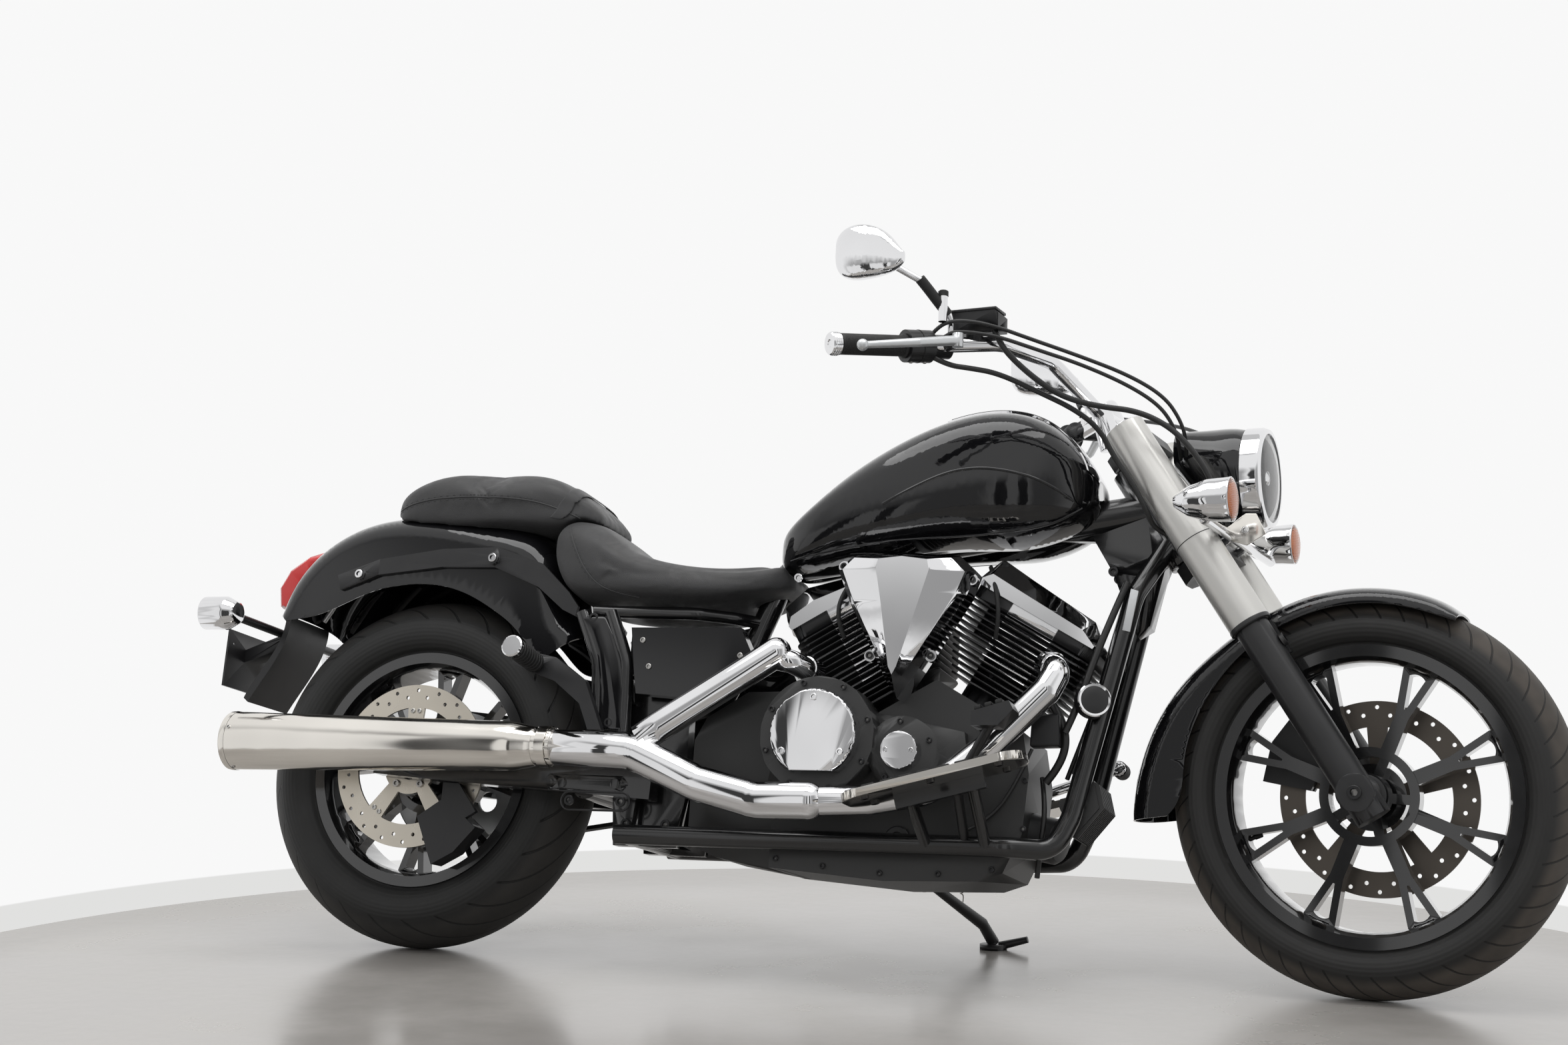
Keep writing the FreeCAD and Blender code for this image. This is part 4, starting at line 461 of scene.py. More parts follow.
@dataclass(frozen=True)
class Tread(Finish):
    """A tyre: rubber whose crown has curved V grooves, and whose walls have fine rings."""

    body: Body = Body.FRONT_WHEEL
    axle: Point = FRONT_AXLE
    crown: float = 250.0
    pitch_count: float = 22.0
    lean: float = 2.2

    def draw(self, graph: Graph, shader: bpy.types.Node) -> None:
        """Draws the grooves from the angle round the axle and the distance across the wheel, with painted
        shade inside them.
        """
        crown = self.crown * MM
        x, y, z = graph.axes(graph.place(turn=STANCES[self.body].matrix, centre=self.axle))
        angle = graph.sum("ARCTAN2", z, x)
        side = graph.sum("ABSOLUTE", y)
        radius = graph.sum("SQRT", graph.total(graph.product(x, x), graph.product(z, z)))
        sweep = graph.product(graph.sum("POWER", side, 0.8), self.lean * 4.0)
        half = graph.product(graph.sum("GREATER_THAN", y, 0.0), math.pi / self.pitch_count)
        turns = graph.product(graph.total(angle, sweep, half), self.pitch_count)
        wave = graph.sum("ABSOLUTE", graph.sum("SINE", graph.product(turns, 0.5)))
        inner = graph.remap(side, 0.006, 0.009)
        outer = graph.remap(radius, crown - 0.006, crown)
        groove = graph.product(graph.remap(wave, 0.10, 0.17, 1.0, 0.0), inner, outer)
        rings = graph.sum("SINE", graph.product(radius, 900.0))
        walls = graph.product(graph.remap(radius, crown, crown - 0.004), 0.04)
        grain = self.effect(graph, GRAIN, Place=graph.place(), Scale=self.grain)
        fine = graph.product(grain.outputs["Height"], 0.05)
        height = graph.total(graph.product(groove, -1.0), graph.product(rings, walls), fine)
        scuff = graph.remap(radius, crown - 0.004, crown + 0.012)
        patchy = graph.remap(grain.outputs["Variation"], 0.3, 0.7, 0.65, 1.0)
        dust = graph.product(scuff, self.dust, patchy)
        colour = graph.blend(dust, self.tint(graph, grain), (*self.dusty, 1.0))
        # Painted shade: the grooves are painted almost black, darker than clean rubber, for the shade that
        # falls inside them.
        colour = graph.blend(graph.product(groove, 0.8), colour, (0.004, 0.004, 0.004, 1.0))
        normal = self.bump(graph, height, 0.004)
        graph.feed(shader, Base_Color=colour, Normal=normal, Roughness=self.roughness)
        graph.feed(shader, Specular_IOR_Level=self.specular)


@dataclass(frozen=True)
class Finned(Finish):
    """Black cylinder casting whose fin edges are polished along their middle."""

    base: Point = (0.0, 0.0, 0.0)
    bank: float = 0.0
    low: float = 190.0
    side_reach: float = 76.0
    polish: Colour = (0.86, 0.86, 0.87)

    def draw(self, graph: Graph, shader: bpy.types.Node) -> None:
        """Draws bright bands on the outward edges of the upper fins."""
        reach, low = self.side_reach * MM, self.low * MM
        place = graph.place(turn=STANCES[Body.CHASSIS].matrix, centre=self.base)
        tilt = graph.feed(graph.add("VectorRotate", rotation_type="Y_AXIS"), Vector=place, Angle=self.bank)
        along, side, up = graph.axes(tilt.outputs[0])
        wide = graph.remap(graph.sum("ABSOLUTE", side), reach - 0.002, reach)
        middle = graph.remap(graph.sum("ABSOLUTE", along), 0.046, 0.044)
        mask = graph.product(wide, middle, graph.remap(up, low, low + 0.002))
        grain = self.effect(graph, GRAIN, Place=graph.place(), Scale=self.grain)
        colour = graph.blend(mask, self.tint(graph, grain), (*self.polish, 1.0))
        roughness = graph.remap(mask, 0.0, 1.0, self.roughness, 0.16)
        normal = self.bump(graph, grain.outputs["Height"], self.depth)
        graph.feed(shader, Base_Color=colour, Metallic=mask, Roughness=roughness, Normal=normal)


GLOSS = Finish(
    "gloss_black_paint", Slot.GLOSS, (0.005, 0.005, 0.0058), 0.10, coat=1.0, specular=0.08, grain=420,
    depth=1e-6, spread=0.02,
)
RIM_BLACK = Finish(
    "wheel_black_paint", Slot.GLOSS, (0.006, 0.006, 0.0065), 0.16, coat=1.0, coat_roughness=0.04,
    depth=1e-6, spread=0.02,
)
FRAME_BLACK = Finish(
    "frame_black_paint", Slot.GLOSS, (0.007, 0.007, 0.0075), 0.22, coat=0.6, coat_roughness=0.08,
    depth=4e-6, spread=0.02,
)

SATIN = Finish(
    "satin_black_paint", Slot.SATIN, (0.013, 0.013, 0.014), 0.40, grain=1500, depth=1e-5, spread=0.03
)
BLACK_BOLT = Finish("black_bolt", Slot.SATIN, (0.020, 0.020, 0.021), 0.35, metallic=0.4, wear=0.5)
ENGINE = Finish(
    "engine_black", Slot.ENGINE, (0.011, 0.011, 0.012), 0.42, grain=1300, depth=1.5e-5, spread=0.03,
    specular=0.35, dust=0.06,
)
CHROME = Finish(
    "chrome_plate", Slot.CHROME, (0.80, 0.80, 0.81), 0.04, metallic=1.0, grain=300, depth=5e-7, spread=0.015
)
NICKEL = Finish(
    "brushed_nickel", Slot.NICKEL, (0.58, 0.54, 0.485), 0.19, metallic=1.0, grain=500, depth=4e-6,
    stretch=(1, 1, 0.02), edge_shade=0.85,
)
DISC_STEEL = Finish("disc_steel", Slot.STEEL, (0.56, 0.52, 0.45), 0.32, metallic=1.0, grain=700, depth=8e-6)
DISC_DARK = Finish(
    "front_disc_steel", Slot.STEEL, (0.13, 0.115, 0.10), 0.40, metallic=1.0, grain=700, depth=8e-6
)
STEEL = Finish("zinc_steel", Slot.STEEL, (0.52, 0.51, 0.49), 0.34, metallic=1.0, grain=600, depth=1e-5)
POLISHED = Finish(
    "polished_steel", Slot.STEEL, (0.80, 0.77, 0.72), 0.12, metallic=1.0, grain=260, depth=2e-6, spread=0.04
)
ALUMINIUM = Finish(
    "cast_aluminium", Slot.ALUMINIUM, (0.76, 0.755, 0.74), 0.26, metallic=1.0, grain=1100, depth=8e-6,
    spread=0.04,
)
RUBBER = Finish(
    "moulded_rubber", Slot.RUBBER, (0.014, 0.014, 0.014), 0.58, grain=1600, depth=3e-5, specular=0.35,
    dust=0.06,
)
HOSE = Finish("hose_rubber", Slot.RUBBER, (0.012, 0.012, 0.012), 0.38, grain=900, depth=1e-5, spread=0.03)
PLASTIC = Finish(
    "moulded_plastic", Slot.PLASTIC, (0.011, 0.011, 0.012), 0.38, grain=1400, depth=1e-5, spread=0.03,
    specular=0.4,
)
HIDE_BLACK = Hide(
    "seat_leather", Slot.LEATHER, (0.020, 0.020, 0.021), 0.47, grain=520, depth=2.2e-4, dust=0.05
)
THREAD = Finish("seat_thread", Slot.LEATHER, (0.030, 0.030, 0.031), 0.60, grain=2500, depth=5e-5)
CLEAR = Glass("clear_lens", Slot.LENS, (0.97, 0.98, 0.98), 0.03)
FLUTED = Glass("fluted_lens", Slot.LENS, (0.97, 0.95, 0.93), 0.06, flutes=110.0)
RED = Glass("red_lens", Slot.RED, (0.62, 0.010, 0.012), 0.08)
REFLECTOR = Finish(
    "lamp_reflector", Slot.CHROME, (0.95, 0.95, 0.95), 0.30, metallic=0.5, grain=120, depth=2e-5
)
AMBER = Finish("amber_bulb", Slot.LENS, (0.75, 0.20, 0.03), 0.25, coat=0.6)
FRONT_TREAD = Tread(
    "front_tread", Slot.TYRE, (0.017, 0.0165, 0.016), 0.60, grain=1200, specular=0.35, dust=0.95,
    dusty=(0.075, 0.064, 0.054), crown=287.0, pitch_count=48.0, lean=0.55,
)
REAR_TREAD = Tread(
    "rear_tread", Slot.TYRE, (0.015, 0.015, 0.0148), 0.62, grain=1200, specular=0.35, dust=0.6,
    dusty=(0.036, 0.033, 0.030), body=Body.REAR_WHEEL, axle=REAR_AXLE, crown=282.0, pitch_count=26.0,
    lean=1.1,
)
CASTING = (0.013, 0.013, 0.014)
REAR_FINS = Finned("rear_fins", Slot.ENGINE, CASTING, 0.42, depth=2e-5, base=CRANK, bank=BANK)
FRONT_BASE = (CRANK[0] + 10 * math.cos(BANK), 0.0, CRANK[2] - 10 * math.sin(BANK))
FRONT_FINS = Finned("front_fins", Slot.ENGINE, CASTING, 0.42, depth=2e-5, base=FRONT_BASE, bank=-BANK)


# Making shapes by hand


def take(obj: bpy.types.Object) -> bpy.types.Object:
    """Makes one object the only selected one, and the active one."""
    bpy.ops.object.select_all(action="DESELECT")
    obj.select_set(True)
    bpy.context.view_layer.objects.active = obj
    return obj


@contextmanager
def editing(obj: bpy.types.Object) -> Iterator[bpy.types.Mesh]:
    """Opens an object in edit mode, every vertex selected, while the block runs."""
    take(obj)
    bpy.ops.object.mode_set(mode="EDIT")
    bpy.ops.mesh.select_mode(type="VERT")
    bpy.ops.mesh.select_all(action="SELECT")
    yield obj.data
    bpy.ops.object.mode_set(mode="OBJECT")


def close_up(obj: bpy.types.Object, gap: float = 0.01) -> bpy.types.Object:
    """Merges what coincides and points the faces outwards."""
    with editing(obj):
        bpy.ops.mesh.remove_doubles(threshold=gap * MM)
        bpy.ops.mesh.normals_make_consistent(inside=False)
    return obj


def modify(obj: bpy.types.Object, kind: str, **settings) -> bpy.types.Object:
    """Adds a modifier, sets it and applies it.

    Args:
        obj: The object to change.
        kind: The modifier's type.
        **settings: Its properties.

    Returns:
        The same object.
    """
    take(obj)
    bpy.ops.object.modifier_add(type=kind)
    modifier = obj.modifiers[-1]
    for name, value in settings.items():
        setattr(modifier, name, value)
    bpy.ops.object.modifier_apply(modifier=modifier.name)
    return obj


def join(name: str, parts: Sequence[bpy.types.Object]) -> bpy.types.Object:
    """Joins several objects under one name."""
    take(parts[0])
    for part in parts:
        part.select_set(True)
    if len(parts) > 1:
        bpy.ops.object.join()
    joined = bpy.context.object
    joined.name = name
    return joined


def line_of(name: str, points: Sequence[Sequence[float]]) -> bpy.types.Object:
    """A chain of edges through points in millimetres, extruded from one vertex."""
    bpy.ops.object.select_all(action="DESELECT")
    bpy.ops.mesh.primitive_plane_add(size=MM, location=(0, 0, 0))
    obj = bpy.context.object
    obj.name = name
    places = [Vector(point) * MM for point in points]
    with editing(obj):
        bpy.ops.mesh.merge(type="CENTER")
        bpy.ops.transform.translate(value=places[0])
        for here, there in zip(places, places[1:]):
            bpy.ops.mesh.extrude_region_move(TRANSFORM_OT_translate={"value": there - here})
    return obj


def spun(
    name: str,
    outline: Sequence[tuple[float, float]],
    centre: Sequence[float],
    axis: Sequence[float],
    steps: int = 64,
    closed: bool = False,
) -> bpy.types.Object:
    """A turned shape.

    Args:
        name: The object's name.
        outline: Pairs of the distance along the axis and the radius.
        centre: Where the axis starts, upright, in millimetres.
        axis: The direction of the axis.
        steps: How many facets go round.
        closed: Whether the outline returns to its start.

    Returns:
        The turned object.
    """
    line = Vector(axis).normalized()
    out = line.orthogonal().normalized()
    pairs = list(outline) + ([outline[0]] if closed else [])
    points = [Vector(centre) + line * along + out * radius for along, radius in pairs]
    obj = line_of(name, points)
    with editing(obj):
        bpy.ops.mesh.spin(steps=steps, angle=math.tau, center=Vector(centre) * MM, axis=line)
    return close_up(obj)


def plate(
    name: str,
    outline: Sequence[Sequence[float]],
    push: Sequence[float],
    round_edge: float = 0.0,
    segments: int = 3,
) -> bpy.types.Object:
    """A flat outline pushed to a thickness, with its edges rounded.

    Args:
        name: The object's name.
        outline: The corners, upright, in millimetres.
        push: The extrusion, in millimetres.
        round_edge: The radius that its sharp edges get.
        segments: How many facets each rounded edge has.

    Returns:
        The plate.
    """
    obj = line_of(name, outline)
    with editing(obj):
        bpy.ops.mesh.edge_face_add()
        bpy.ops.mesh.extrude_region_move(TRANSFORM_OT_translate={"value": Vector(push) * MM})
    close_up(obj)
    if round_edge:
        modify(obj, "BEVEL", width=round_edge * MM, segments=segments, limit_method="ANGLE")
    return obj


def side_plate(name: str, outline, low: float, high: float, round_edge: float = 0.0) -> bpy.types.Object:
    """A side-view outline of X and Z between two distances to the side."""
    return plate(name, [(x, low, z) for x, z in outline], (0, high - low, 0), round_edge)


def bent(obj: bpy.types.Object) -> bpy.types.Object:
    """A curve turned into a mesh."""
    take(obj)
    bpy.ops.object.convert(target="MESH")
    return bpy.context.object


def path_of(
    name: str, points: Sequence[Sequence[float]], stance: Optional[Stance] = None
) -> bpy.types.Object:
    """A smooth curve that follows control points given in upright millimetres."""
    bpy.ops.object.select_all(action="DESELECT")
    bpy.ops.curve.primitive_nurbs_path_add(location=(0, 0, 0))
    obj = bpy.context.object
    obj.name = name
    obj.data.splines.clear()
    spline = obj.data.splines.new("NURBS")
    spline.points.add(len(points) - 1)
    for knot, point in zip(spline.points, points):
        knot.co = (*(stance.at(point) if stance else Vector(point) * MM), 1.0)
    spline.order_u = 3
    spline.use_endpoint_u = True
    spline.resolution_u = 10
    return obj


def wire(name: str, points: Sequence[Sequence[float]], radius: float, rings: int = 3) -> bpy.types.Object:
    """A round rod or hose that bends smoothly along its points."""
    obj = path_of(name, points)
    obj.data.bevel_depth = radius * MM
    obj.data.bevel_resolution = rings
    obj.data.use_fill_caps = True
    return close_up(bent(obj), 0.001)


def skin(node: str, merge: float = 0.002) -> bpy.types.Object:
    """A merged copy of a CAD node, so that its curves can be shaded smooth."""
    source = frame["nodes"][node]
    obj = source.copy()
    obj.data = source.data.copy()
    obj.parent = None
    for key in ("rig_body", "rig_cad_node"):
        if key in obj:
            del obj[key]
    obj.name = node + "_finished"
    bpy.context.scene.collection.objects.link(obj)
    with editing(obj):
        bpy.ops.mesh.remove_doubles(threshold=merge * MM)
    return obj


def stand(obj: bpy.types.Object, body: Body) -> bpy.types.Object:
    """Carries a piece drawn upright to where its body stands."""
    take(obj)
    obj.matrix_world = STANCES[body].matrix @ obj.matrix_world
    bpy.ops.object.transform_apply(location=True, rotation=True, scale=True)
    return obj


def dress(
    obj: bpy.types.Object, body: Body, finish: Finish, replaced: Iterable[str] = (), smooth: float = CREASE
) -> bpy.types.Object:
    """Shades a piece, gives it its finish and hangs it on its body.

    Args:
        obj: The piece, already where it stands.
        body: The body that it rides on.
        finish: Its finish.
        replaced: The CAD nodes that it stands for.
        smooth: The sharpest angle, in degrees, that is still shaded smooth.

    Returns:
        The piece.
    """
    take(obj)
    if obj.type == "MESH" and smooth:
        bpy.ops.object.shade_smooth_by_angle(angle=math.radians(smooth))
    obj.data.materials.clear()
    obj.data.materials.append(finish.material())
    names = list(replaced)
    if names:
        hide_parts(*names)
    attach(obj, body.value)
    LOG.info("%s rides on %s", obj.name, body.value)
    return obj


def hang(
    obj: bpy.types.Object, body: Body, finish: Finish, smooth: float = CREASE, replaced: Iterable[str] = ()
) -> bpy.types.Object:
    """Carries a piece drawn upright to its body and dresses it."""
    return dress(stand(obj, body), body, finish, replaced, smooth)


def turned(
    name: str,
    outline: Sequence[tuple[float, float]],
    centre: Sequence[float],
    axis: Sequence[float],
    body: Body,
    finish: Finish,
    steps: int = 64,
    smooth: float = CREASE,
) -> bpy.types.Object:
    """A turned shape that hangs on its body; its arguments are those of spun and of hang."""
    return hang(spun(name, outline, centre, axis, steps), body, finish, smooth)


def carry(node: str, body: Body, finish: Finish, smooth: float = CREASE) -> bpy.types.Object:
    """Shows a CAD node as a smoothly shaded copy in its finish."""
    obj = dress(skin(node), body, finish, [node], smooth)
    return modify(obj, "WEIGHTED_NORMAL", keep_sharp=True)


def carry_all(body: Body, rows: Iterable[tuple[str, Finish, float]]) -> None:
    """Shows several CAD nodes of one body, each with its finish and its smooth angle."""
    for node, finish, smooth in rows:
        carry(node, body, finish, smooth)


def ring_of(count: int, radius: float, start: float = 0.0) -> list[tuple[float, float]]:
    """Pairs of offsets to places spread evenly round a circle."""
    angles = [math.tau * k / count + start for k in range(count)]
    return [(radius * math.cos(angle), radius * math.sin(angle)) for angle in angles]


def copies(model: bpy.types.Object, places: Sequence[Matrix]) -> list[bpy.types.Object]:
    """Copies of a finished model at several places, each with its own mesh."""
    made = []
    for place in places:
        obj = model.copy()
        obj.data = model.data.copy()
        bpy.context.scene.collection.objects.link(obj)
        obj.matrix_world = place
        take(obj)
        bpy.ops.object.transform_apply(location=True, rotation=True, scale=True)
        made.append(obj)
    return made


def facing(point: Sequence[float], axis: Sequence[float], roll: float = 0.0) -> Matrix:
    """The placement of a model made along Z so that it stands at a point and looks along an axis."""
    turn = Vector(axis).to_track_quat("Z", "Y").to_matrix().to_4x4()
    return Matrix.Translation(Vector(point) * MM) @ turn @ Matrix.Rotation(roll, 4, "Z")


def cap_screw(radius: float, height: float) -> bpy.types.Object:
    """A socket head screw: a chamfered head with a six-sided recess."""
    outline = [(0, 0), (0, radius), (height - 0.6, radius), (height, radius - 0.7), (height, radius * 0.55)]
    head = spun("screw", outline, (0, 0, 0), UP, 20)
    socket = [(x, y, height * 0.35) for x, y in ring_of(6, radius * 0.52)]
    return join("screw", [head, plate("socket", socket, (0, 0, 0.2))])


def screws(name: str, radius: float, height: float, places: Sequence[tuple], body: Body, finish: Finish):
    """A set of equal screws as one piece.

    Args:
        name: The piece's name.
        radius: The head's radius in millimetres.
        height: The head's height in millimetres.
        places: Pairs of a point and the direction that the head faces.
        body: The body that carries them.
        finish: Their finish.

    Returns:
        The piece.
    """
    model = cap_screw(radius, height)
    made = copies(model, [facing(point, axis, 0.3 * k) for k, (point, axis) in enumerate(places)])
    bpy.data.objects.remove(model)
    return hang(join(name, made), body, finish, 30)


def refine(points: Sequence[Point], pitch: float) -> list[Vector]:
    """Points a given distance apart along a smooth curve through a few control points."""
    guide = path_of("guide", points)
    guide.data.splines[0].resolution_u = 24
    guide = bent(guide)
    places = [vertex.co / MM for vertex in guide.data.vertices]
    bpy.data.objects.remove(guide)
    kept = [places[0]]
    for place in places:
        if (place - kept[-1]).length >= pitch:
            kept.append(place)
    return kept


def lay_on(cover: bpy.types.Object, points: Sequence[Point], aim: Sequence[float], lift: float = 0.0) -> list:
    """Drops a line of points onto a chassis piece.

    Args:
        cover: The piece.
        points: The line, upright, in millimetres, outside the piece.
        aim: The upright direction in which they drop.
        lift: How far from the surface they stay, in millimetres.

    Returns:
        Pairs of a place and a normal in the scene, for the points that meet the piece.
    """
    tree = BVHTree.FromObject(cover, bpy.context.evaluated_depsgraph_get())
    way = (CHASSIS_STANCE.matrix.to_3x3() @ Vector(aim)).normalized()
    found = []
    for point in points:
        hit, normal, _, _ = tree.ray_cast(CHASSIS_STANCE.at(point), way)
        if hit is not None:
            found.append((hit + normal * lift * MM, normal))
    return found


def bead(
    name: str,
    cover: bpy.types.Object,
    points: Sequence[Point],
    aim: Sequence[float],
    radius: float,
    finish: Finish,
) -> bpy.types.Object:
    """A raised bead that follows a line on a chassis piece."""
    inverse = CHASSIS_STANCE.matrix.inverted()
    line = [inverse @ place / MM for place, _ in lay_on(cover, refine(points, 12.0), aim, -radius * 0.35)]
    return hang(wire(name, line, radius), Body.CHASSIS, finish, ROUND)


# The studio


@dataclass
class Studio:
    """The camera of the photograph, a pale floor and wall, and soft lamps."""

    eye: Point = (1.0633, -3.6313, 0.5958)
    yaw: float = -0.323
    pitch: float = 0.049
    focal_px: float = 3093.5
    photo_width: int = 2352
    sensor: float = 36.0
    room_radius: float = 1.62
    room_centre: Point = (-0.03, -0.37, 0.0)
    room_height: float = 3.4
    facets: int = 128
    plinth: float = 0.05
    window_middle: float = 0.52
    window_pitch: float = 13.0
    white: float = 0.94
    plain: float = 0.38

    def build(self) -> None:
        """Makes everything that isn't the machine."""
        self.camera()
        self.floor()
        self.wall()
        self.lamps()
        self.world()

    def camera(self) -> None:
        """Stands the camera where the photograph was taken."""
        level = Vector((math.sin(self.yaw), math.cos(self.yaw), 0))
        right = Vector((math.cos(self.yaw), -math.sin(self.yaw), 0))
        ahead = level * math.cos(self.pitch) + Vector((0, 0, 1)) * math.sin(self.pitch)
        up = right.cross(ahead)
        bpy.ops.object.camera_add(location=(0, 0, 0))
        camera = bpy.context.object
        camera.name = "photo_camera"
        camera.matrix_world = Matrix.Translation(self.eye) @ Matrix((right, up, -ahead)).transposed().to_4x4()
        camera.data.sensor_width = self.sensor
        camera.data.lens = self.focal_px / self.photo_width * self.sensor
        camera.data.clip_end = 60.0
        bpy.context.scene.camera = camera

    def floor(self) -> None:
        """A pale, faintly glossy screed."""
        bpy.ops.object.select_all(action="DESELECT")
        bpy.ops.mesh.primitive_circle_add(
            vertices=self.facets, radius=self.room_radius, fill_type="NGON", location=self.room_centre
        )
        bpy.ops.object.transform_apply(location=True, rotation=False, scale=False)
        floor = bpy.context.object
        floor.name = "studio_floor"
        material, graph = blank("pale_screed")
        shader = graph.add("BsdfPrincipled")
        graph.feed(graph.add("OutputMaterial"), Surface=shader.outputs[0])
        cloud = graph.noise(graph.place(), 1.7, 9.0, Roughness=0.6)
        colour = graph.blend(graph.remap(cloud, 0.3, 0.7), (0.335, 0.318, 0.30, 1), (0.42, 0.402, 0.38, 1))
        roughness = graph.remap(cloud, 0.3, 0.7, 0.15, 0.30)
        graph.feed(shader, Base_Color=colour, Roughness=roughness, Specular_IOR_Level=0.55)
        floor.data.materials.append(material)

    def wall(self) -> None:
        """A round white wall with a low plinth, seen from its inside only."""
        outline = [(0.0, self.room_radius / MM), (self.room_height / MM, self.room_radius / MM)]
        wall = spun("studio_wall", outline, Vector(self.room_centre) / MM, UP, self.facets)
        with editing(wall):
            bpy.ops.mesh.normals_make_consistent(inside=True)
        take(wall)
        bpy.ops.object.shade_smooth()
        material, graph = blank("white_wall")
        across, depth, height = graph.axes(graph.place())
        plinth = graph.remap(height, self.plinth - 0.002, self.plinth + 0.002)
        tone = graph.blend(plinth, (0.80, 0.80, 0.79, 1), (1.0, 1.0, 1.0, 1))
        light = graph.sum("MAXIMUM", self.room_light(graph, across, depth, height), self.seen_light(graph))
        glow = graph.feed(graph.add("Emission"), Color=tone, Strength=light)
        hidden = graph.add("NewGeometry").outputs["Backfacing"]
        clear = graph.add("BsdfTransparent").outputs[0]
        mixed = graph.feed(graph.add("MixShader"), n0=hidden, n1=glow.outputs[0], n2=clear)
        graph.feed(graph.add("OutputMaterial"), Surface=mixed.outputs[0])
        wall.data.materials.append(material)
        wall.visible_diffuse = False
        wall.visible_shadow = False

    def seen_light(self, graph: Graph) -> bpy.types.NodeSocket:
        """Even white where the camera looks straight at the wall."""
        return graph.product(graph.add("LightPath").outputs["Is Camera Ray"], self.white)

    def room_light(self, graph: Graph, across, depth, height) -> bpy.types.NodeSocket:
        """What the machine reflects: white, and behind the camera a darker room with bright windows.

        Args:
            graph: The wall's graph.
            across: The socket of the place along the machine.
            depth: The socket of the place to its side, below zero behind the camera.
            height: The socket of the height.

        Returns:
            The strength of the wall's light.
        """
        front = graph.product(graph.remap(depth, -0.6, -1.3), graph.remap(height, 1.75, 1.25))
        aside = graph.sum("SUBTRACT", across, self.window_middle)
        stripe = graph.sum("COSINE", graph.product(aside, self.window_pitch))
        windows = graph.remap(stripe, -0.6, 0.0, 0.05, 0.85)
        corner = graph.product(graph.remap(height, 1.3, 1.05), graph.remap(across, -0.3, -0.45))
        away = graph.remap(graph.sum("ABSOLUTE", aside), 0.35, 0.5)
        bare = graph.product(away, graph.sum("SUBTRACT", 1.0, corner))
        room = graph.total(windows, graph.product(bare, graph.sum("SUBTRACT", self.plain, windows)))
        return graph.total(graph.product(front, graph.sum("SUBTRACT", room, self.white)), self.white)

    def lamps(self) -> None:
        """Large soft panels above and beside the machine."""
        panels = (
            ("overhead_panel", (0.0, -0.6, 2.9), (0.0, 0.0, 0.4), 3.4, 1.5, 44.0),
            ("side_panel", (1.4, -3.6, 2.1), (0.2, 0.0, 0.5), 2.6, 1.2, 22.0),
            ("rear_panel", (-2.8, -1.6, 1.9), (-0.3, 0.0, 0.5), 1.8, 1.2, 14.0),
            ("back_panel", (0.4, 2.6, 2.4), (0.0, 0.0, 0.7), 3.0, 1.2, 18.0),
        )
        for name, place, aim, wide, high, power in panels:
            bpy.ops.object.light_add(type="AREA", location=place)
            lamp = bpy.context.object
            lamp.name = name
            lamp.rotation_euler = (Vector(aim) - Vector(place)).to_track_quat("-Z", "Y").to_euler()
            lamp.data.shape = "RECTANGLE"
            lamp.data.size = wide
            lamp.data.size_y = high
            lamp.data.energy = power

    def world(self) -> None:
        """White behind everything, and a softer grey for what the surfaces receive."""
        world = bpy.data.worlds.new("pale_room")
        bpy.context.scene.world = world
        world.use_nodes = True
        graph = Graph(world.node_tree)
        rays = graph.add("LightPath")
        seen = graph.sum("MAXIMUM", rays.outputs["Is Camera Ray"], rays.outputs["Is Transmission Ray"])
        sky = graph.remap(graph.axes(graph.add("TexCoord").outputs["Generated"])[2], -0.25, 0.55, 0.22, 0.62)
        soft = graph.feed(graph.add("Background"), Color=(1, 1, 1, 1), Strength=sky)
        plain = graph.feed(graph.add("Background"), Color=(1, 1, 1, 1), Strength=self.white)
        both = graph.feed(graph.add("MixShader"), n0=seen, n1=soft.outputs[0], n2=plain.outputs[0])
        graph.feed(graph.add("OutputWorld"), Surface=both.outputs[0])
        bpy.context.scene.view_settings.view_transform = "Standard"


# Cables


@dataclass(frozen=True)
class Cable:
    """A control cable or hose between the handlebar and the steering head."""

    name: str
    route: tuple[Point, ...]
    diameter: float
    length: float
    stiffness: str = "medium"

    def build(self) -> bpy.types.Object:
        obj = path_of(self.name + "_cord", self.route, FORK_STANCE)
        obj.data.bevel_depth = self.diameter / 2 * MM
        obj.data.bevel_resolution = 3
        obj.data.use_fill_caps = True
        dress(obj, Body.FORK, HOSE, [self.name], smooth=0)
        FORK_STANCE.at(self.route[0])
        return obj


# Upholstery


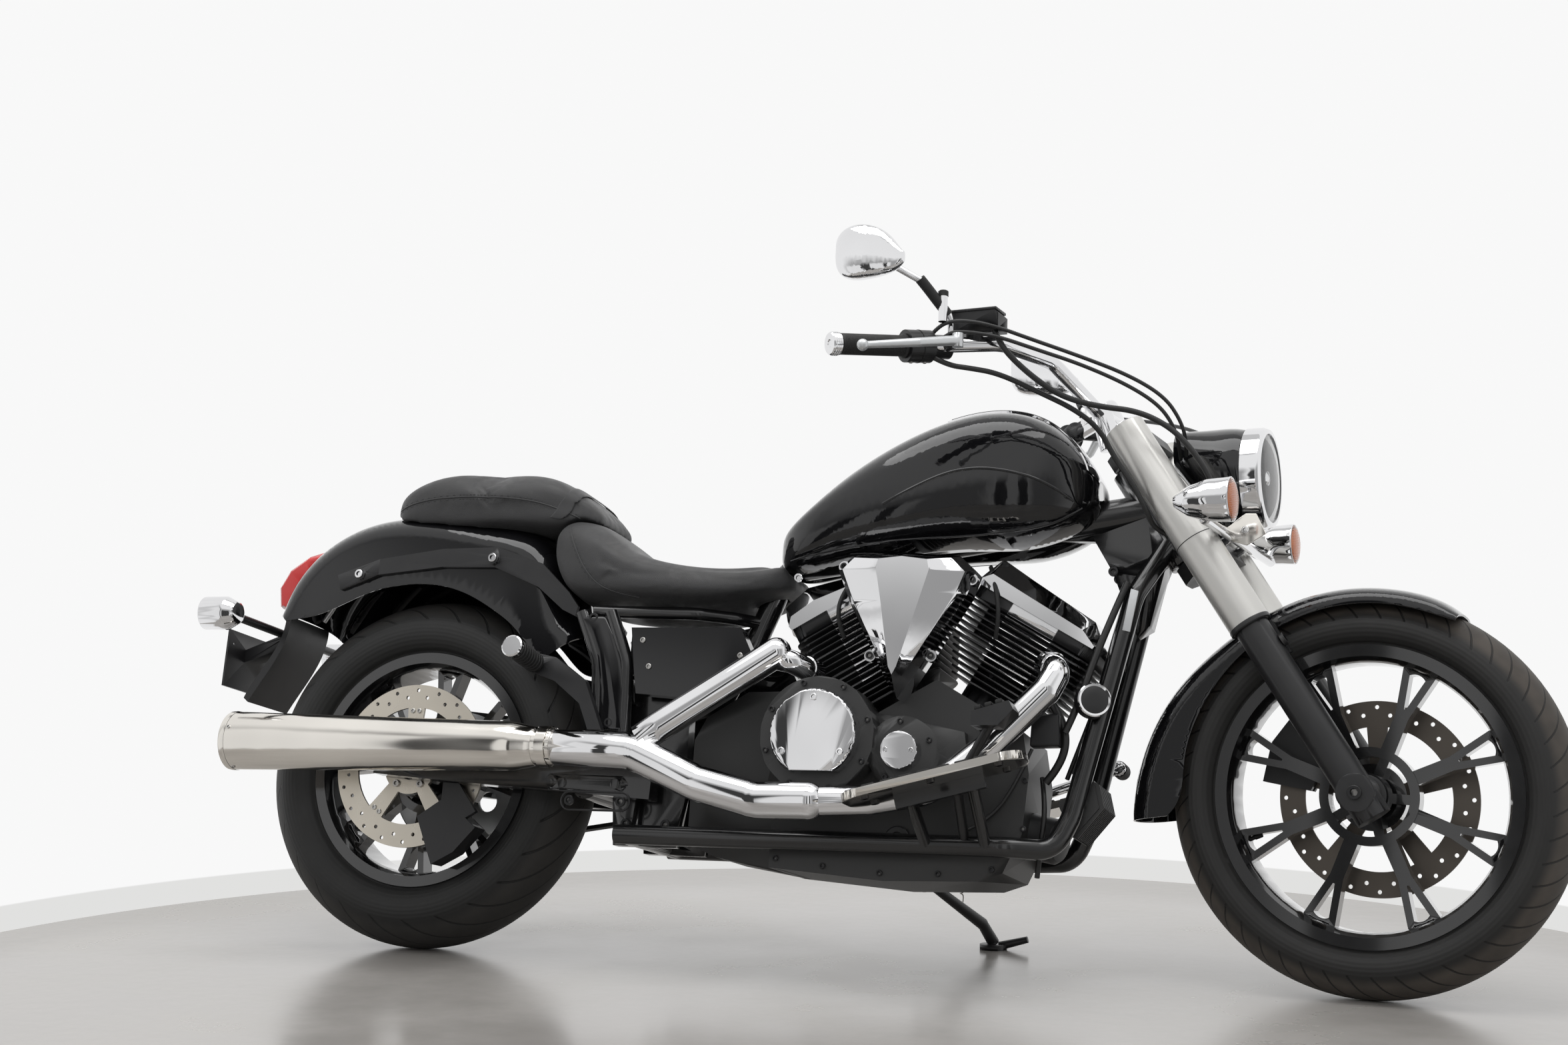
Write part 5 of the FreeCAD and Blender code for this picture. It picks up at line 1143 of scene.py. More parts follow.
@dataclass
class Upholstery:
    """Both seats: foam under leather, with welts and stitching."""

    voxel: float = 0.005
    pressure: float = 4.0
    frames: int = 20
    swell: float = 0.006
    run_in: float = 25.0
    stitch_pitch: float = 7.0
    stitch_side: float = 4.2
    welt: float = 1.3

    def cushion(self, name: str, node: str, floor: float) -> bpy.types.Object:
        """Blows up a seat's foam, keeping its underside flat.

        Args:
            name: The piece's name.
            node: The CAD node that it stands for.
            floor: The upright height, in millimetres, below which it hardly swells.

        Returns:
            The padded seat.
        """
        obj = skin(node)
        obj.name = name
        modify(obj, "REMESH", mode="VOXEL", voxel_size=self.voxel, adaptivity=0.0)
        modify(obj, "SMOOTH", factor=0.5, iterations=6)
        rest = [vertex.co.copy() for vertex in obj.data.vertices]
        self.inflate(obj)
        inverse = CHASSIS_STANCE.matrix.inverted()
        for vertex, start in zip(obj.data.vertices, rest):
            push = vertex.co - start
            height = (inverse @ start).z / MM
            limit = self.swell * min(max((height - floor) / self.run_in, 0.0), 1.0)
            if push.length > limit:
                push = push * (limit / push.length)
            vertex.co = start + push
        obj.data.update()
        modify(obj, "SUBSURF", levels=1, render_levels=1)
        dress(obj, Body.CHASSIS, HIDE_BLACK, [node], ROUND)
        return obj

    def inflate(self, obj: bpy.types.Object) -> None:
        """Blows the foam up as cloth under pressure."""
        take(obj)
        bpy.ops.object.modifier_add(type="CLOTH")
        cloth = obj.modifiers[-1]
        cloth.settings.use_pressure = True
        cloth.settings.uniform_pressure_force = self.pressure
        cloth.settings.effector_weights.gravity = 0.0
        cloth.settings.quality = 4
        cloth.point_cache.frame_start = 1
        cloth.point_cache.frame_end = self.frames
        for step in range(1, self.frames + 1):
            bpy.context.scene.frame_set(step)
        bpy.ops.object.modifier_apply(modifier=cloth.name)
        bpy.context.scene.frame_set(1)

    def seam(self, name: str, cover: bpy.types.Object, points: Sequence[Point], aim: Sequence[float]) -> None:
        """Sews a welt along a line on the cover, with a row of stitches on each side."""
        line = lay_on(cover, refine(points, 4.0), aim, 0.2)
        if len(line) < 4:
            LOG.warning("%s finds no cover", name)
            return
        inverse = CHASSIS_STANCE.matrix.inverted()
        welt = wire(name + "_welt", [inverse @ place / MM for place, _ in line], self.welt, 2)
        hang(welt, Body.CHASSIS, HIDE_BLACK, ROUND)
        stitches = []
        model = spun("stitch", [(-2.2, 0), (-1.8, 0.45), (1.8, 0.45), (2.2, 0)], (0, 0, 0), UP, 6)
        run = 0.0
        for (here, normal), (there, _) in zip(line, line[1:]):
            run += (there - here).length / MM
            if run < self.stitch_pitch:
                continue
            run = 0.0
            along = (there - here).normalized()
            across = normal.cross(along).normalized()
            turn = along.to_track_quat("Z", "Y").to_matrix().to_4x4()
            for side, _ in SIDES:
                spot = here + across * side * self.stitch_side * MM
                stitches.append(Matrix.Translation(spot) @ turn)
        made = copies(model, stitches)
        bpy.data.objects.remove(model)
        dress(join(name + "_stitches", made), Body.CHASSIS, THREAD, smooth=ROUND)

    def build(self) -> None:
        """Makes both seats and their seams."""
        rider = self.cushion("rider_seat_leather", "rider_seat", 640.0)
        pillion = self.cushion("pillion_seat_leather", "pillion_seat", 782.0)
        top = ((-84, 806), (-40, 820), (60, 826), (170, 820), (240, 806), (300, 780))
        panel = ((286, 762), (306, 720), (338, 668), (380, 634), (440, 626))
        for side, word in SIDES:
            seams = ((f"pillion_{word}_top", pillion, top), (f"rider_{word}_panel", rider, panel))
            for name, seat, line in seams:
                self.seam(name + "_seam", seat, [(x, side * 260, z) for x, z in line], (0, -side, 0))
        self.strap(pillion)

    def strap(self, pillion: bpy.types.Object) -> None:
        """The leather strap across the pillion seat's nose."""
        half = [
            (238, 150, 776), (252, 150, 800), (268, 130, 826), (276, 90, 860), (280, 40, 880), (281, 0, 884)
        ]
        path = [(x, -y, z) for x, y, z in half] + half[-2::-1]
        strap = bent(path_of("strap_path", path))
        strap.name = "pillion_strap"
        with editing(strap):
            bpy.ops.mesh.extrude_region_move(TRANSFORM_OT_translate={"value": Vector((34, 0, -12)) * MM})
            bpy.ops.mesh.select_all(action="SELECT")
            bpy.ops.mesh.subdivide(number_cuts=3)
        stand(strap, Body.CHASSIS)
        take(strap)
        bpy.ops.object.modifier_add(type="SHRINKWRAP")
        wrap = strap.modifiers[-1]
        wrap.target = pillion
        wrap.offset = 0.0012
        wrap.wrap_method = "NEAREST_SURFACEPOINT"
        bpy.ops.object.modifier_apply(modifier=wrap.name)
        close_up(strap, 0.1)
        modify(strap, "SMOOTH", factor=0.4, iterations=4)
        modify(strap, "SOLIDIFY", thickness=0.0022, offset=1.0)
        modify(strap, "SUBSURF", levels=1, render_levels=1)
        dress(strap, Body.CHASSIS, HIDE_BLACK, smooth=ROUND)


# The assemblies


@dataclass
class Wheels:
    """Tyres, cast wheels, discs and what is bolted to them."""

    bolt_circle: float = 40.92
    rivet_split: float = 0.064
    valve_angle: float = math.radians(200)

    def build(self) -> None:
        """Dresses both wheels."""
        front, rear = Body.FRONT_WHEEL, Body.REAR_WHEEL
        carry("front_tyre", front, FRONT_TREAD, 40)
        carry("rear_tyre", rear, REAR_TREAD, 40)
        carry("front_rim", front, RIM_BLACK, 18)
        carry("rear_rim", rear, RIM_BLACK, 18)
        carry("front_disc", front, DISC_DARK, 30)
        carry("rear_disc", rear, DISC_STEEL, 30)
        carry("rear_pulley", rear, ALUMINIUM, 30)
        self.disc_bolts("front", front, FRONT_AXLE, 66.5, 1, 112.0)
        self.disc_bolts("rear", rear, REAR_AXLE, -97.0, -1, 101.0)
        self.valve("front", front, FRONT_AXLE, 214.0)
        self.valve("rear", rear, REAR_AXLE, 189.0)
        cover = [(0, 34), (1.5, 34), (3, 31), (3.4, 22), (1.0, 20)]
        turned("front_dust_cover", cover, (WHEELBASE, -50.0, FRONT_RADIUS), RIGHT, front, SATIN, 48)
        seal = [(0, 12), (0.8, 12), (1.6, 14), (0.8, 19), (0, 20)]
        turned("front_bearing_seal", seal, (WHEELBASE, -52.4, FRONT_RADIUS), RIGHT, front, RUBBER, 40)
        turned("rear_bearing_seal", seal, (0.0, -92.0, REAR_RADIUS), RIGHT, rear, RUBBER, 40)

    def disc_bolts(self, name: str, body: Body, axle: Point, face: float, way: int, out: float) -> None:
        """The button heads and rivets that hold a disc.

        Args:
            name: The wheel's name.
            body: The wheel's body.
            axle: The wheel's centre.
            face: The Y of the disc's outer face.
            way: The side to which that face looks, 1 for the left.
            out: The radius of the circle of rivets.
        """
        places = [
            ((axle[0] + x, face, axle[2] + z), (0, way, 0))
            for x, z in ring_of(5, self.bolt_circle, math.pi / 2)
        ]
        screws(f"{name}_disc_bolts", 6.5, 4.5, places, body, STEEL)
        pairs = zip(*[ring_of(5, out, math.pi / 2 + side * self.rivet_split) for side, _ in SIDES])
        rivets = [
            ((axle[0] + x, face - way * 0.2, axle[2] + z), (0, way, 0)) for pair in pairs for x, z in pair
        ]
        screws(f"{name}_disc_rivets", 4.6, 2.4, rivets, body, STEEL)

    def valve(self, name: str, body: Body, axle: Point, radius: float) -> None:
        """A rubber valve stem with its cap, springing from the rim's well."""
        outward = Vector((math.cos(self.valve_angle), 0, math.sin(self.valve_angle)))
        spot = Vector(axle) + outward * radius
        stem = [(-3, 0), (-3, 5.5), (4, 4.2), (14, 3.4), (15, 4.4), (27, 4.0), (28, 3.0), (28, 0)]
        turned(f"{name}_valve", stem, spot, Vector(axle) - spot, body, RUBBER, 20)


@dataclass
class Bodywork:
    """Tank, fenders, side covers and the lamps that they carry."""

    def build(self) -> None:
        """Dresses the painted parts and what is fixed to them."""
        tank = carry("fuel_tank", Body.CHASSIS, GLOSS, 40)
        console = carry("tank_console", Body.CHASSIS, CHROME, 35)
        carry("rear_fender", Body.CHASSIS, GLOSS, 35)
        carry("front_fender", Body.FORK, GLOSS, 35)
        carry_all(Body.CHASSIS, (
            ("fender_struts", SATIN, 30),
            ("side_covers", GLOSS, 30),
            ("battery_box", PLASTIC, 30),
            ("plate_bracket", PLASTIC, 30),
            ("tail_lamp", RED, 40),
        ))
        self.tank_lines(tank, console)
        self.rear_signals()
        self.fixings()
        self.filler_cap()

    def tank_lines(self, tank: bpy.types.Object, console: bpy.types.Object) -> None:
        """The creases on the tank's sides, its bottom seam and the rubber along the console."""
        crease = ((884, 784), (902, 794), (990, 834), (1040, 842), (1085, 840), (1164, 823), (1214, 790))
        seam = (
            (700, 702), (763, 712), (857, 726), (995, 736), (1089, 740), (1154, 750), (1200, 770), (1226, 792)
        )
        edge = ((936, 1100), (1026, 1100), (1120, 1100), (1190, 1100), (1232, 1100))
        for side, word in SIDES:
            inward = (0, -side, 0)
            bead(f"{word}_tank_crease", tank, [(x, side * 300, z) for x, z in crease], inward, 3.0, GLOSS)
            bead(f"{word}_tank_seam", tank, [(x, side * 300, z) for x, z in seam], inward, 2.6, GLOSS)
            rubber = [(x, side * 87, z) for x, z in edge]
            bead(f"{word}_console_rubber", console, rubber, (0, 0, -1), 2.4, RUBBER)

    def rear_signals(self) -> None:
        """Chrome bullets whose fluted lenses face back, and the tail lamp's bright edges."""
        carry("rear_signals", Body.CHASSIS, CHROME, 35)
        for side, word in SIDES:
            bullet_lens(f"rear_{word}_signal", Body.CHASSIS, (-388, side * 222, 580), (-1, 0, 0), 29.0)
            edge = [(x, side * 52, z) for x, z in ((-220, 740), (-262, 698), (-294, 642), (-308, 622))]
            hang(wire(f"{word}_tail_lamp_strip", edge, 5.5), Body.CHASSIS, REFLECTOR, ROUND)

    def fixings(self) -> None:
        """The screws that show on the struts and side covers."""
        ends = ((-136, 676), (138, 704))
        strut = [((x, side * 124, z), (0, side, 0)) for side, _ in SIDES for x, z in ends]
        screws("strut_bolts", 8.0, 5.0, strut, Body.CHASSIS, CHROME)
        spots = ((456, 547), (471, 500), (640, 520))
        covers = [((x, side * 140, z), (0, side, 0)) for side, _ in SIDES for x, z in spots]
        screws("side_cover_screws", 5.0, 3.2, covers, Body.CHASSIS, STEEL)

    def filler_cap(self) -> None:
        """The flush filler with its stepped rim, key cover and hinge."""
        centre = (1012, 0, 976)
        rim = [(-1, 36), (1.5, 36), (2.6, 34), (1.2, 31), (0.6, 28)]
        turned("filler_rim", rim, centre, UP, Body.CHASSIS, CHROME)
        lid = [(0, 27.6), (2.2, 27.6), (3.4, 26), (4.0, 12), (4.1, 0)]
        turned("filler_lid", lid, centre, UP, Body.CHASSIS, POLISHED)
        places = [((centre[0] + x, y, 977.4), UP) for x, y in ring_of(6, 32)]
        screws("filler_screws", 2.4, 1.6, places, Body.CHASSIS, STEEL)
        flap = [(998, -5, 980), (1030, -5, 980), (1036, 0, 980), (1030, 5, 980), (998, 5, 980)]
        hang(plate("filler_key_flap", flap, (0, 0, 2.4), 0.8), Body.CHASSIS, CHROME)


def bullet_lens(name: str, body: Body, centre: Point, out: Point, radius: float) -> None:
    """A signal's fluted clear lens with an amber bulb behind it.

    Args:
        name: The signal's name.
        body: The body that carries it.
        centre: The middle of the shell's mouth, upright.
        out: The direction that the lens faces.
        radius: The lens's radius in millimetres.
    """
    dome = [(-2, radius), (2, radius), (5, radius * 0.86), (8, radius * 0.5), (9, 0)]
    turned(name + "_lens", dome, centre, out, body, FLUTED, smooth=ROUND)
    glow = [(0.2, radius * 0.80), (1.4, radius * 0.62), (2.6, radius * 0.3), (3.0, 0)]
    turned(name + "_bulb", glow, centre, out, body, AMBER, 40, ROUND)
    ring = [(-3, radius + 1.0), (1.5, radius + 1.6), (2.4, radius + 0.6), (1.6, radius - 0.6)]
    turned(name + "_bezel", ring, centre, out, body, CHROME, smooth=ROUND)


@dataclass
class Engine:
    """Case, cylinders, covers, air cleaner and the exhaust."""

    cap_centre: tuple[float, float] = (797.0, 379.0)
    small_centre: tuple[float, float] = (940.0, 357.0)
    cap_face: float = -200.0
    small_face: float = -172.0
    muffler_mouth: Point = (-306.0, -201.0, 346.0)

    def build(self) -> None:
        """Dresses the engine from the case outwards."""
        carry_all(Body.CHASSIS, (
            ("engine_case", ENGINE, 30),
            ("clutch_housing", ENGINE, 30),
            ("primary_cover", ENGINE, 30),
            ("belt_cover", SATIN, 30),
            ("rear_cylinder", REAR_FINS, 30),
            ("front_cylinder", FRONT_FINS, 30),
            ("head_covers", CHROME, 12),
            ("engine_caps", CHROME, 40),
            ("air_cleaner", CHROME, 12),
            ("header_pipes", CHROME, 50),
            ("muffler", POLISHED, 40),
        ))
        self.cap_screws()
        self.case_bolts()
        self.exhaust_trim()
        self.port_flanges()
        self.plug_leads()

    def cap_screws(self) -> None:
        """The screws that hold the two polished caps."""
        x, z = self.cap_centre
        angles = [math.radians(degrees) for degrees in (90, 212, 328)]
        three = [((x + 60 * math.cos(a), self.cap_face + 0.4, z + 60 * math.sin(a)), RIGHT) for a in angles]
        screws("clutch_cap_screws", 6.0, 3.6, three, Body.CHASSIS, CHROME)
        x, z = self.small_centre
        two = [((x + d, self.small_face + 0.4, z), RIGHT) for d in (-22, 22)]
        screws("crank_cap_screws", 4.2, 2.6, two, Body.CHASSIS, CHROME)

    def case_bolts(self) -> None:
        """Flange bolts round the housings on both sides, and the air cleaner's screws."""
        places = []
        for (x, z), y, count, radius, start, out in (
            (self.cap_centre, -172.0, 8, 92, 0.3, RIGHT),
            (self.small_centre, -150.0, 5, 51, 0.4, RIGHT),
            ((CRANK[0], CRANK[2]), 172.0, 7, 74, 0.0, LEFT),
        ):
            places += [((x + dx, y, z + dz), out) for dx, dz in ring_of(count, radius, start)]
        for x, z in ((716, 178), (800, 168), (900, 160), (1000, 162), (1090, 172), (1140, 240), (1140, 320)):
            places += [((x, side * 103.0, z), (0, side, 0)) for side, _ in SIDES]
        screws("case_bolts", 5.0, 5.0, places, Body.CHASSIS, BLACK_BOLT)
        ears = [((x, -150, z), RIGHT) for x, z in ((822, 674), (1047, 650), (876, 519), (982, 519))]
        screws("air_cleaner_screws", 6.5, 5.0, ears, Body.CHASSIS, BLACK_BOLT)

    def exhaust_trim(self) -> None:
        """The muffler's clamp, rolled lip, core and rivets."""
        body, mouth = Body.CHASSIS, Vector(self.muffler_mouth)
        band = [(-9, 34.2), (-9, 36.4), (9, 36.4), (9, 34.2)]
        clamp = spun("muffler_clamp", band, mouth + Vector((624, 0, 0)), AHEAD, closed=True)
        hang(clamp, body, POLISHED)
        lip = [(-3, 44), (-4.5, 47), (-3, 53.4), (4, 54.0), (8, 53.2)]
        turned("muffler_lip", lip, mouth, AHEAD, body, POLISHED, 96)
        core = [(-2, 43.9), (60, 43.9), (60, 18), (20, 18), (20, 15), (60, 15), (60, 0)]
        turned("muffler_core", core, mouth, AHEAD, body, SATIN)
        outs = [Vector((0, y, z)) for z, y in ring_of(4, 1.0, math.radians(20))]
        rivets = [(mouth + Vector((14, 0, 0)) + out * 52.4, out) for out in outs]
        screws("muffler_rivets", 3.6, 2.0, rivets, body, STEEL)

    def port_flanges(self) -> None:
        """The chrome rings where the header pipes leave the cylinders."""
        for name, spot, way, radius in (
            ("front_port_flange", (1183, -121, 506), (26, -26, -12), 24.0),
            ("rear_port_flange", (757, -122, 500), (-8, -32, 0), 20.0),
        ):
            joint = [(-5, radius + 0.3), (-4, radius + 2), (4, radius + 2), (5, radius + 0.3)]
            hang(spun(name, joint, spot, way, 48, closed=True), Body.CHASSIS, CHROME)

    def plug_leads(self) -> None:
        """Rubber-capped leads that dive between the fins."""
        for name, route in (
            ("front_plug_lead", ((1078, -92, 560), (1086, -108, 590), (1080, -104, 640), (1060, -70, 690))),
            ("rear_plug_lead", ((812, -92, 560), (800, -108, 590), (806, -104, 640), (830, -70, 690))),
        ):
            hang(wire(name, route, 4.0), Body.CHASSIS, RUBBER, ROUND)


@dataclass
class Running:
    """Frame, swingarm, belt, footrests, controls underfoot and the side stand."""

    board_start: Point = (884.0, 0.0, 263.0)
    board_lean: float = math.radians(15)
    stand_pivot: Point = (905.0, 166.0, 176.0)
    stand_knee: Point = (986.0, 300.0, 113.0)
    recess_height: float = 261.5

    def build(self) -> None:
        """Dresses what holds the machine together."""
        carry_all(Body.CHASSIS, (
            ("frame", FRAME_BLACK, 35),
            ("swingarm", FRAME_BLACK, 30),
            ("drive_belt", RUBBER, 30),
            ("rear_caliper", SATIN, 30),
            ("pillion_pegs", SATIN, 30),
            ("floorboards", POLISHED, 30),
            ("brake_pedal", SATIN, 30),
            ("shift_lever", CHROME, 35),
            ("horn", SATIN, 35),
            ("regulator", ENGINE, 30),
            ("stand_bracket", SATIN, 30),
        ))
        carry("side_stand", Body.STAND, SATIN, 40)
        self.board_pads()
        self.pedal_pad()
        self.peg_rubbers()
        self.horn_trim()
        self.regulator_fins()
        self.frame_bolts()
        self.stand_spring()
        self.pillar_covers()
        self.arm_recess()
        self.front_fittings()
        self.front_hoses()

    def board_pads(self) -> None:
        """Ribbed rubber mats on both floorboards, with the bolts under them."""
        along = Vector((math.cos(self.board_lean), 0, math.sin(self.board_lean)))
        down = Vector((math.sin(self.board_lean), 0, -math.cos(self.board_lean)))
        start = Vector(self.board_start)
        bars, pitch, width, inner, outer = 9, 31, 22, 230.0, 320.0
        for side, word in SIDES:
            parts = []
            for k in range(bars):
                taper = 10 if k in (0, bars - 1) else 0
                low = start + along * (10 + k * pitch) - Vector((0, 0, 1))
                high = low + along * width
                near, far = Vector((0, side * (inner + taper), 0)), Vector((0, side * (outer - taper), 0))
                corners = [low + near, high + near, high + far, low + far]
                parts.append(plate("pad", corners, (-1.4, 0, 5), 1.6, 2))
            hang(join(f"{word}_board_mat", parts), Body.CHASSIS, RUBBER)
            spots = ((40, 244), (40, 306), (150, 306), (262, 244), (262, 306))
            places = [start + along * reach + Vector((0, side * y, 0)) + down * 13 for reach, y in spots]
            bolts = [(place, down) for place in places]
            screws(f"{word}_board_bolts", 7.0, 4.0, bolts, Body.CHASSIS, BLACK_BOLT)

    def pedal_pad(self) -> None:
        """The brake pedal's rubber with three bars across it."""
        parts = []
        for k in range(3):
            x, z = 1086 + k * 17, 410 + k * 5
            corners = [(x, -259, z), (x + 11, -259, z + 3), (x + 11, -217, z + 3), (x, -217, z)]
            parts.append(plate("bar", corners, (-1, 0, 7), 1.5, 2))
        hang(join("brake_pedal_rubber", parts), Body.CHASSIS, RUBBER)

    def peg_rubbers(self) -> None:
        """Ringed rubber sleeves and chrome ends on the pillion pegs and the shift peg."""
        sleeve = [(0, 15)]
        for k in range(8):
            sleeve += [(k * 10 + 1, 18.6), (k * 10 + 7, 18.6), (k * 10 + 8, 16.8), (k * 10 + 10, 16.8)]
        sleeve += [(84, 17.0)]
        tip = [(0, 17.5), (2, 19.5), (10, 19.5), (12, 17), (12, 0)]
        for side, word in SIDES:
            start = Vector((262, side * 166, 501))
            way = Vector((0, side * 104, 12)).normalized()
            turned(f"{word}_peg_rubber", sleeve, start, way, Body.CHASSIS, RUBBER, 40)
            turned(f"{word}_peg_end", tip, start + way * 86, way, Body.CHASSIS, CHROME, 40)
        rings = [(0, 13.2)]
        for k in range(5):
            rings += [(k * 9 + 1, 14.6), (k * 9 + 6, 14.6), (k * 9 + 8, 13.2)]
        turned("shift_peg_rubber", rings, (1240, 222, 388), LEFT, Body.CHASSIS, RUBBER, 40)

    def horn_trim(self) -> None:
        """The horn's chrome rim and slotted face."""
        centre, way = (1254, -122, 452), (8, -18, 0)
        rim = [(-1, 27.2), (2, 28.2), (4, 26.4), (3, 23)]
        turned("horn_rim", rim, centre, way, Body.CHASSIS, CHROME)
        face = [(3, 23), (5, 17), (5.6, 8), (5.6, 0)]
        turned("horn_face", face, centre, way, Body.CHASSIS, SATIN, 48)

    def regulator_fins(self) -> None:
        """Cooling fins on the regulator's front face."""
        outline = [(1245, 327), (1255, 322), (1264, 284), (1222, 232), (1214, 234), (1255, 284)]
        parts = [side_plate("fin", outline, y - 1.4, y + 1.4) for y in range(-55, 56, 11)]
        hang(join("regulator_fins", parts), Body.CHASSIS, ENGINE)

    def frame_bolts(self) -> None:
        """The larger fasteners on the frame and swingarm."""
        spots = (
            (26.2, 1264, 690), (26.2, 1292, 640), (135.2, 403, 400), (135.2, 357, 588),
            (86.2, 505, 460), (86.2, 505, 230), (86.2, 430, 230),
        )
        places = [((x, side * y, z), (0, side, 0)) for side, _ in SIDES for y, x, z in spots]
        screws("frame_bolts", 8.5, 6.0, places, Body.CHASSIS, BLACK_BOLT)
        screws("seat_bolt", 7.5, 4.0, [((723, -98, 667), RIGHT)], Body.CHASSIS, CHROME)

    def pillar_covers(self) -> None:
        """The smooth arched face of each pillar behind the side covers."""
        outline = (
            (326, 592), (352, 556), (369, 515), (379, 460), (383, 384), (435, 384), (430, 455), (417, 512),
            (398, 560), (380, 592),
        )
        for side, word in SIDES:
            face = side_plate(f"{word}_pillar_cover", outline, side * 124, side * 141, 7)
            hang(face, Body.CHASSIS, GLOSS)

    def arm_recess(self) -> None:
        """The oblong rim on the swingarm's right side, with the bolt inside each end."""
        face, rear, front, steps = -141.2, 343, 440, 32
        rim = []
        for k in range(steps + 1):
            angle = math.tau * k / steps
            middle = front if math.cos(angle) > 0 else rear
            rim.append((middle + 16 * math.cos(angle), face, self.recess_height + 16 * math.sin(angle)))
        hang(wire("swingarm_recess_rim", rim, 2.0), Body.CHASSIS, SATIN, ROUND)
        bolts = [((x, face, self.recess_height), RIGHT) for x in (rear, front)]
        screws("swingarm_recess_bolts", 9.0, 5.0, bolts, Body.CHASSIS, BLACK_BOLT)

    def front_fittings(self) -> None:
        """The relay box, cover plate, oil filter, brake pivot and bare data plate in front of the engine."""
        body = Body.CHASSIS
        box = ((1148, 374), (1150, 428), (1196, 430), (1198, 376))
        hang(side_plate("relay_box", box, -118, -88, 4), body, PLASTIC)
        cover = ((1063, 396), (1081, 443), (1125, 444), (1120, 402))
        hang(side_plate("front_cover_plate", cover, -132, -100, 5), body, ENGINE)
        can = [(0, 38), (6, 40), (10, 38), (52, 38), (60, 32), (62, 20), (62, 0)]
        turned("oil_filter", can, (1134, -20, 238), (1, -0.25, -0.2), body, SATIN, 48)
        pivot = [(0, 21), (8, 21), (10, 19), (10, 11), (7, 10), (7, 0)]
        turned("brake_pivot", pivot, (929, -104, 217), RIGHT, body, SATIN, 48)
        tag = ((1290, 577), (1303, 574), (1316, 644), (1303, 648))
        hang(side_plate("data_plate", tag, -82, -79.5, 0.6), body, ALUMINIUM)

    def front_hoses(self) -> None:
        """Conduits and hoses between the downtubes and the engine."""
        for name, radius, route in (
            (
                "main_conduit", 6.0,
                ((1296, -74, 660), (1270, -88, 590), (1240, -98, 500), (1222, -104, 440), (1204, -104, 400)),
            ),
            (
                "breather_hose", 7.0,
                ((1150, -70, 480), (1180, -92, 452), (1206, -92, 400), (1196, -84, 350), (1170, -80, 320)),
            ),
            (
                "regulator_lead", 4.0,
                ((1200, -52, 330), (1222, -70, 380), (1250, -80, 450), (1268, -70, 540), (1290, -50, 640)),
            ),
            (
                "brake_switch_lead", 3.0,
                ((1050, -130, 232), (1080, -112, 250), (1120, -108, 300), (1150, -104, 372)),
            ),
            (
                "overflow_hose", 4.5,
                ((1160, -60, 330), (1172, -84, 280), (1166, -82, 220), (1158, -66, 165)),
            ),
            (
                "left_conduit", 6.0,
                ((1296, 74, 660), (1268, 88, 590), (1240, 96, 500), (1214, 96, 420), (1180, 90, 360)),
            ),
        ):
            hang(wire(name, route, radius), Body.CHASSIS, HOSE, ROUND)

    def stand_spring(self) -> None:
        """The coil spring beside the stand's leg, hooked over the leg and the head of the hinge's pin."""
        pivot = Vector(self.stand_pivot)
        leg = (Vector(self.stand_knee) - pivot).normalized()
        hinge = Vector((95, 168, -108)).cross(Vector((-0.99, 0.12, 0.05))).normalized()
        foot, top = pivot + leg * 98 + hinge * 31, pivot + leg * 22 + hinge * 31
        way = (top - foot).normalized()
        out = way.orthogonal()
        turns, corners, radius = 14, 8, 6.0
        points = [pivot + leg * 108 + hinge * 8, pivot + leg * 106 + hinge * 24]
        for k in range(turns * corners + 1):
            ring = Matrix.Rotation(math.tau * k / corners, 3, way) @ out
            points.append(foot.lerp(top, k / (turns * corners)) + ring * radius)
        points += [pivot + leg * 14 + hinge * 28, pivot + leg * 12 + hinge * 21]
        hang(wire("stand_spring", points, 1.3, 2), Body.STAND, STEEL, ROUND)


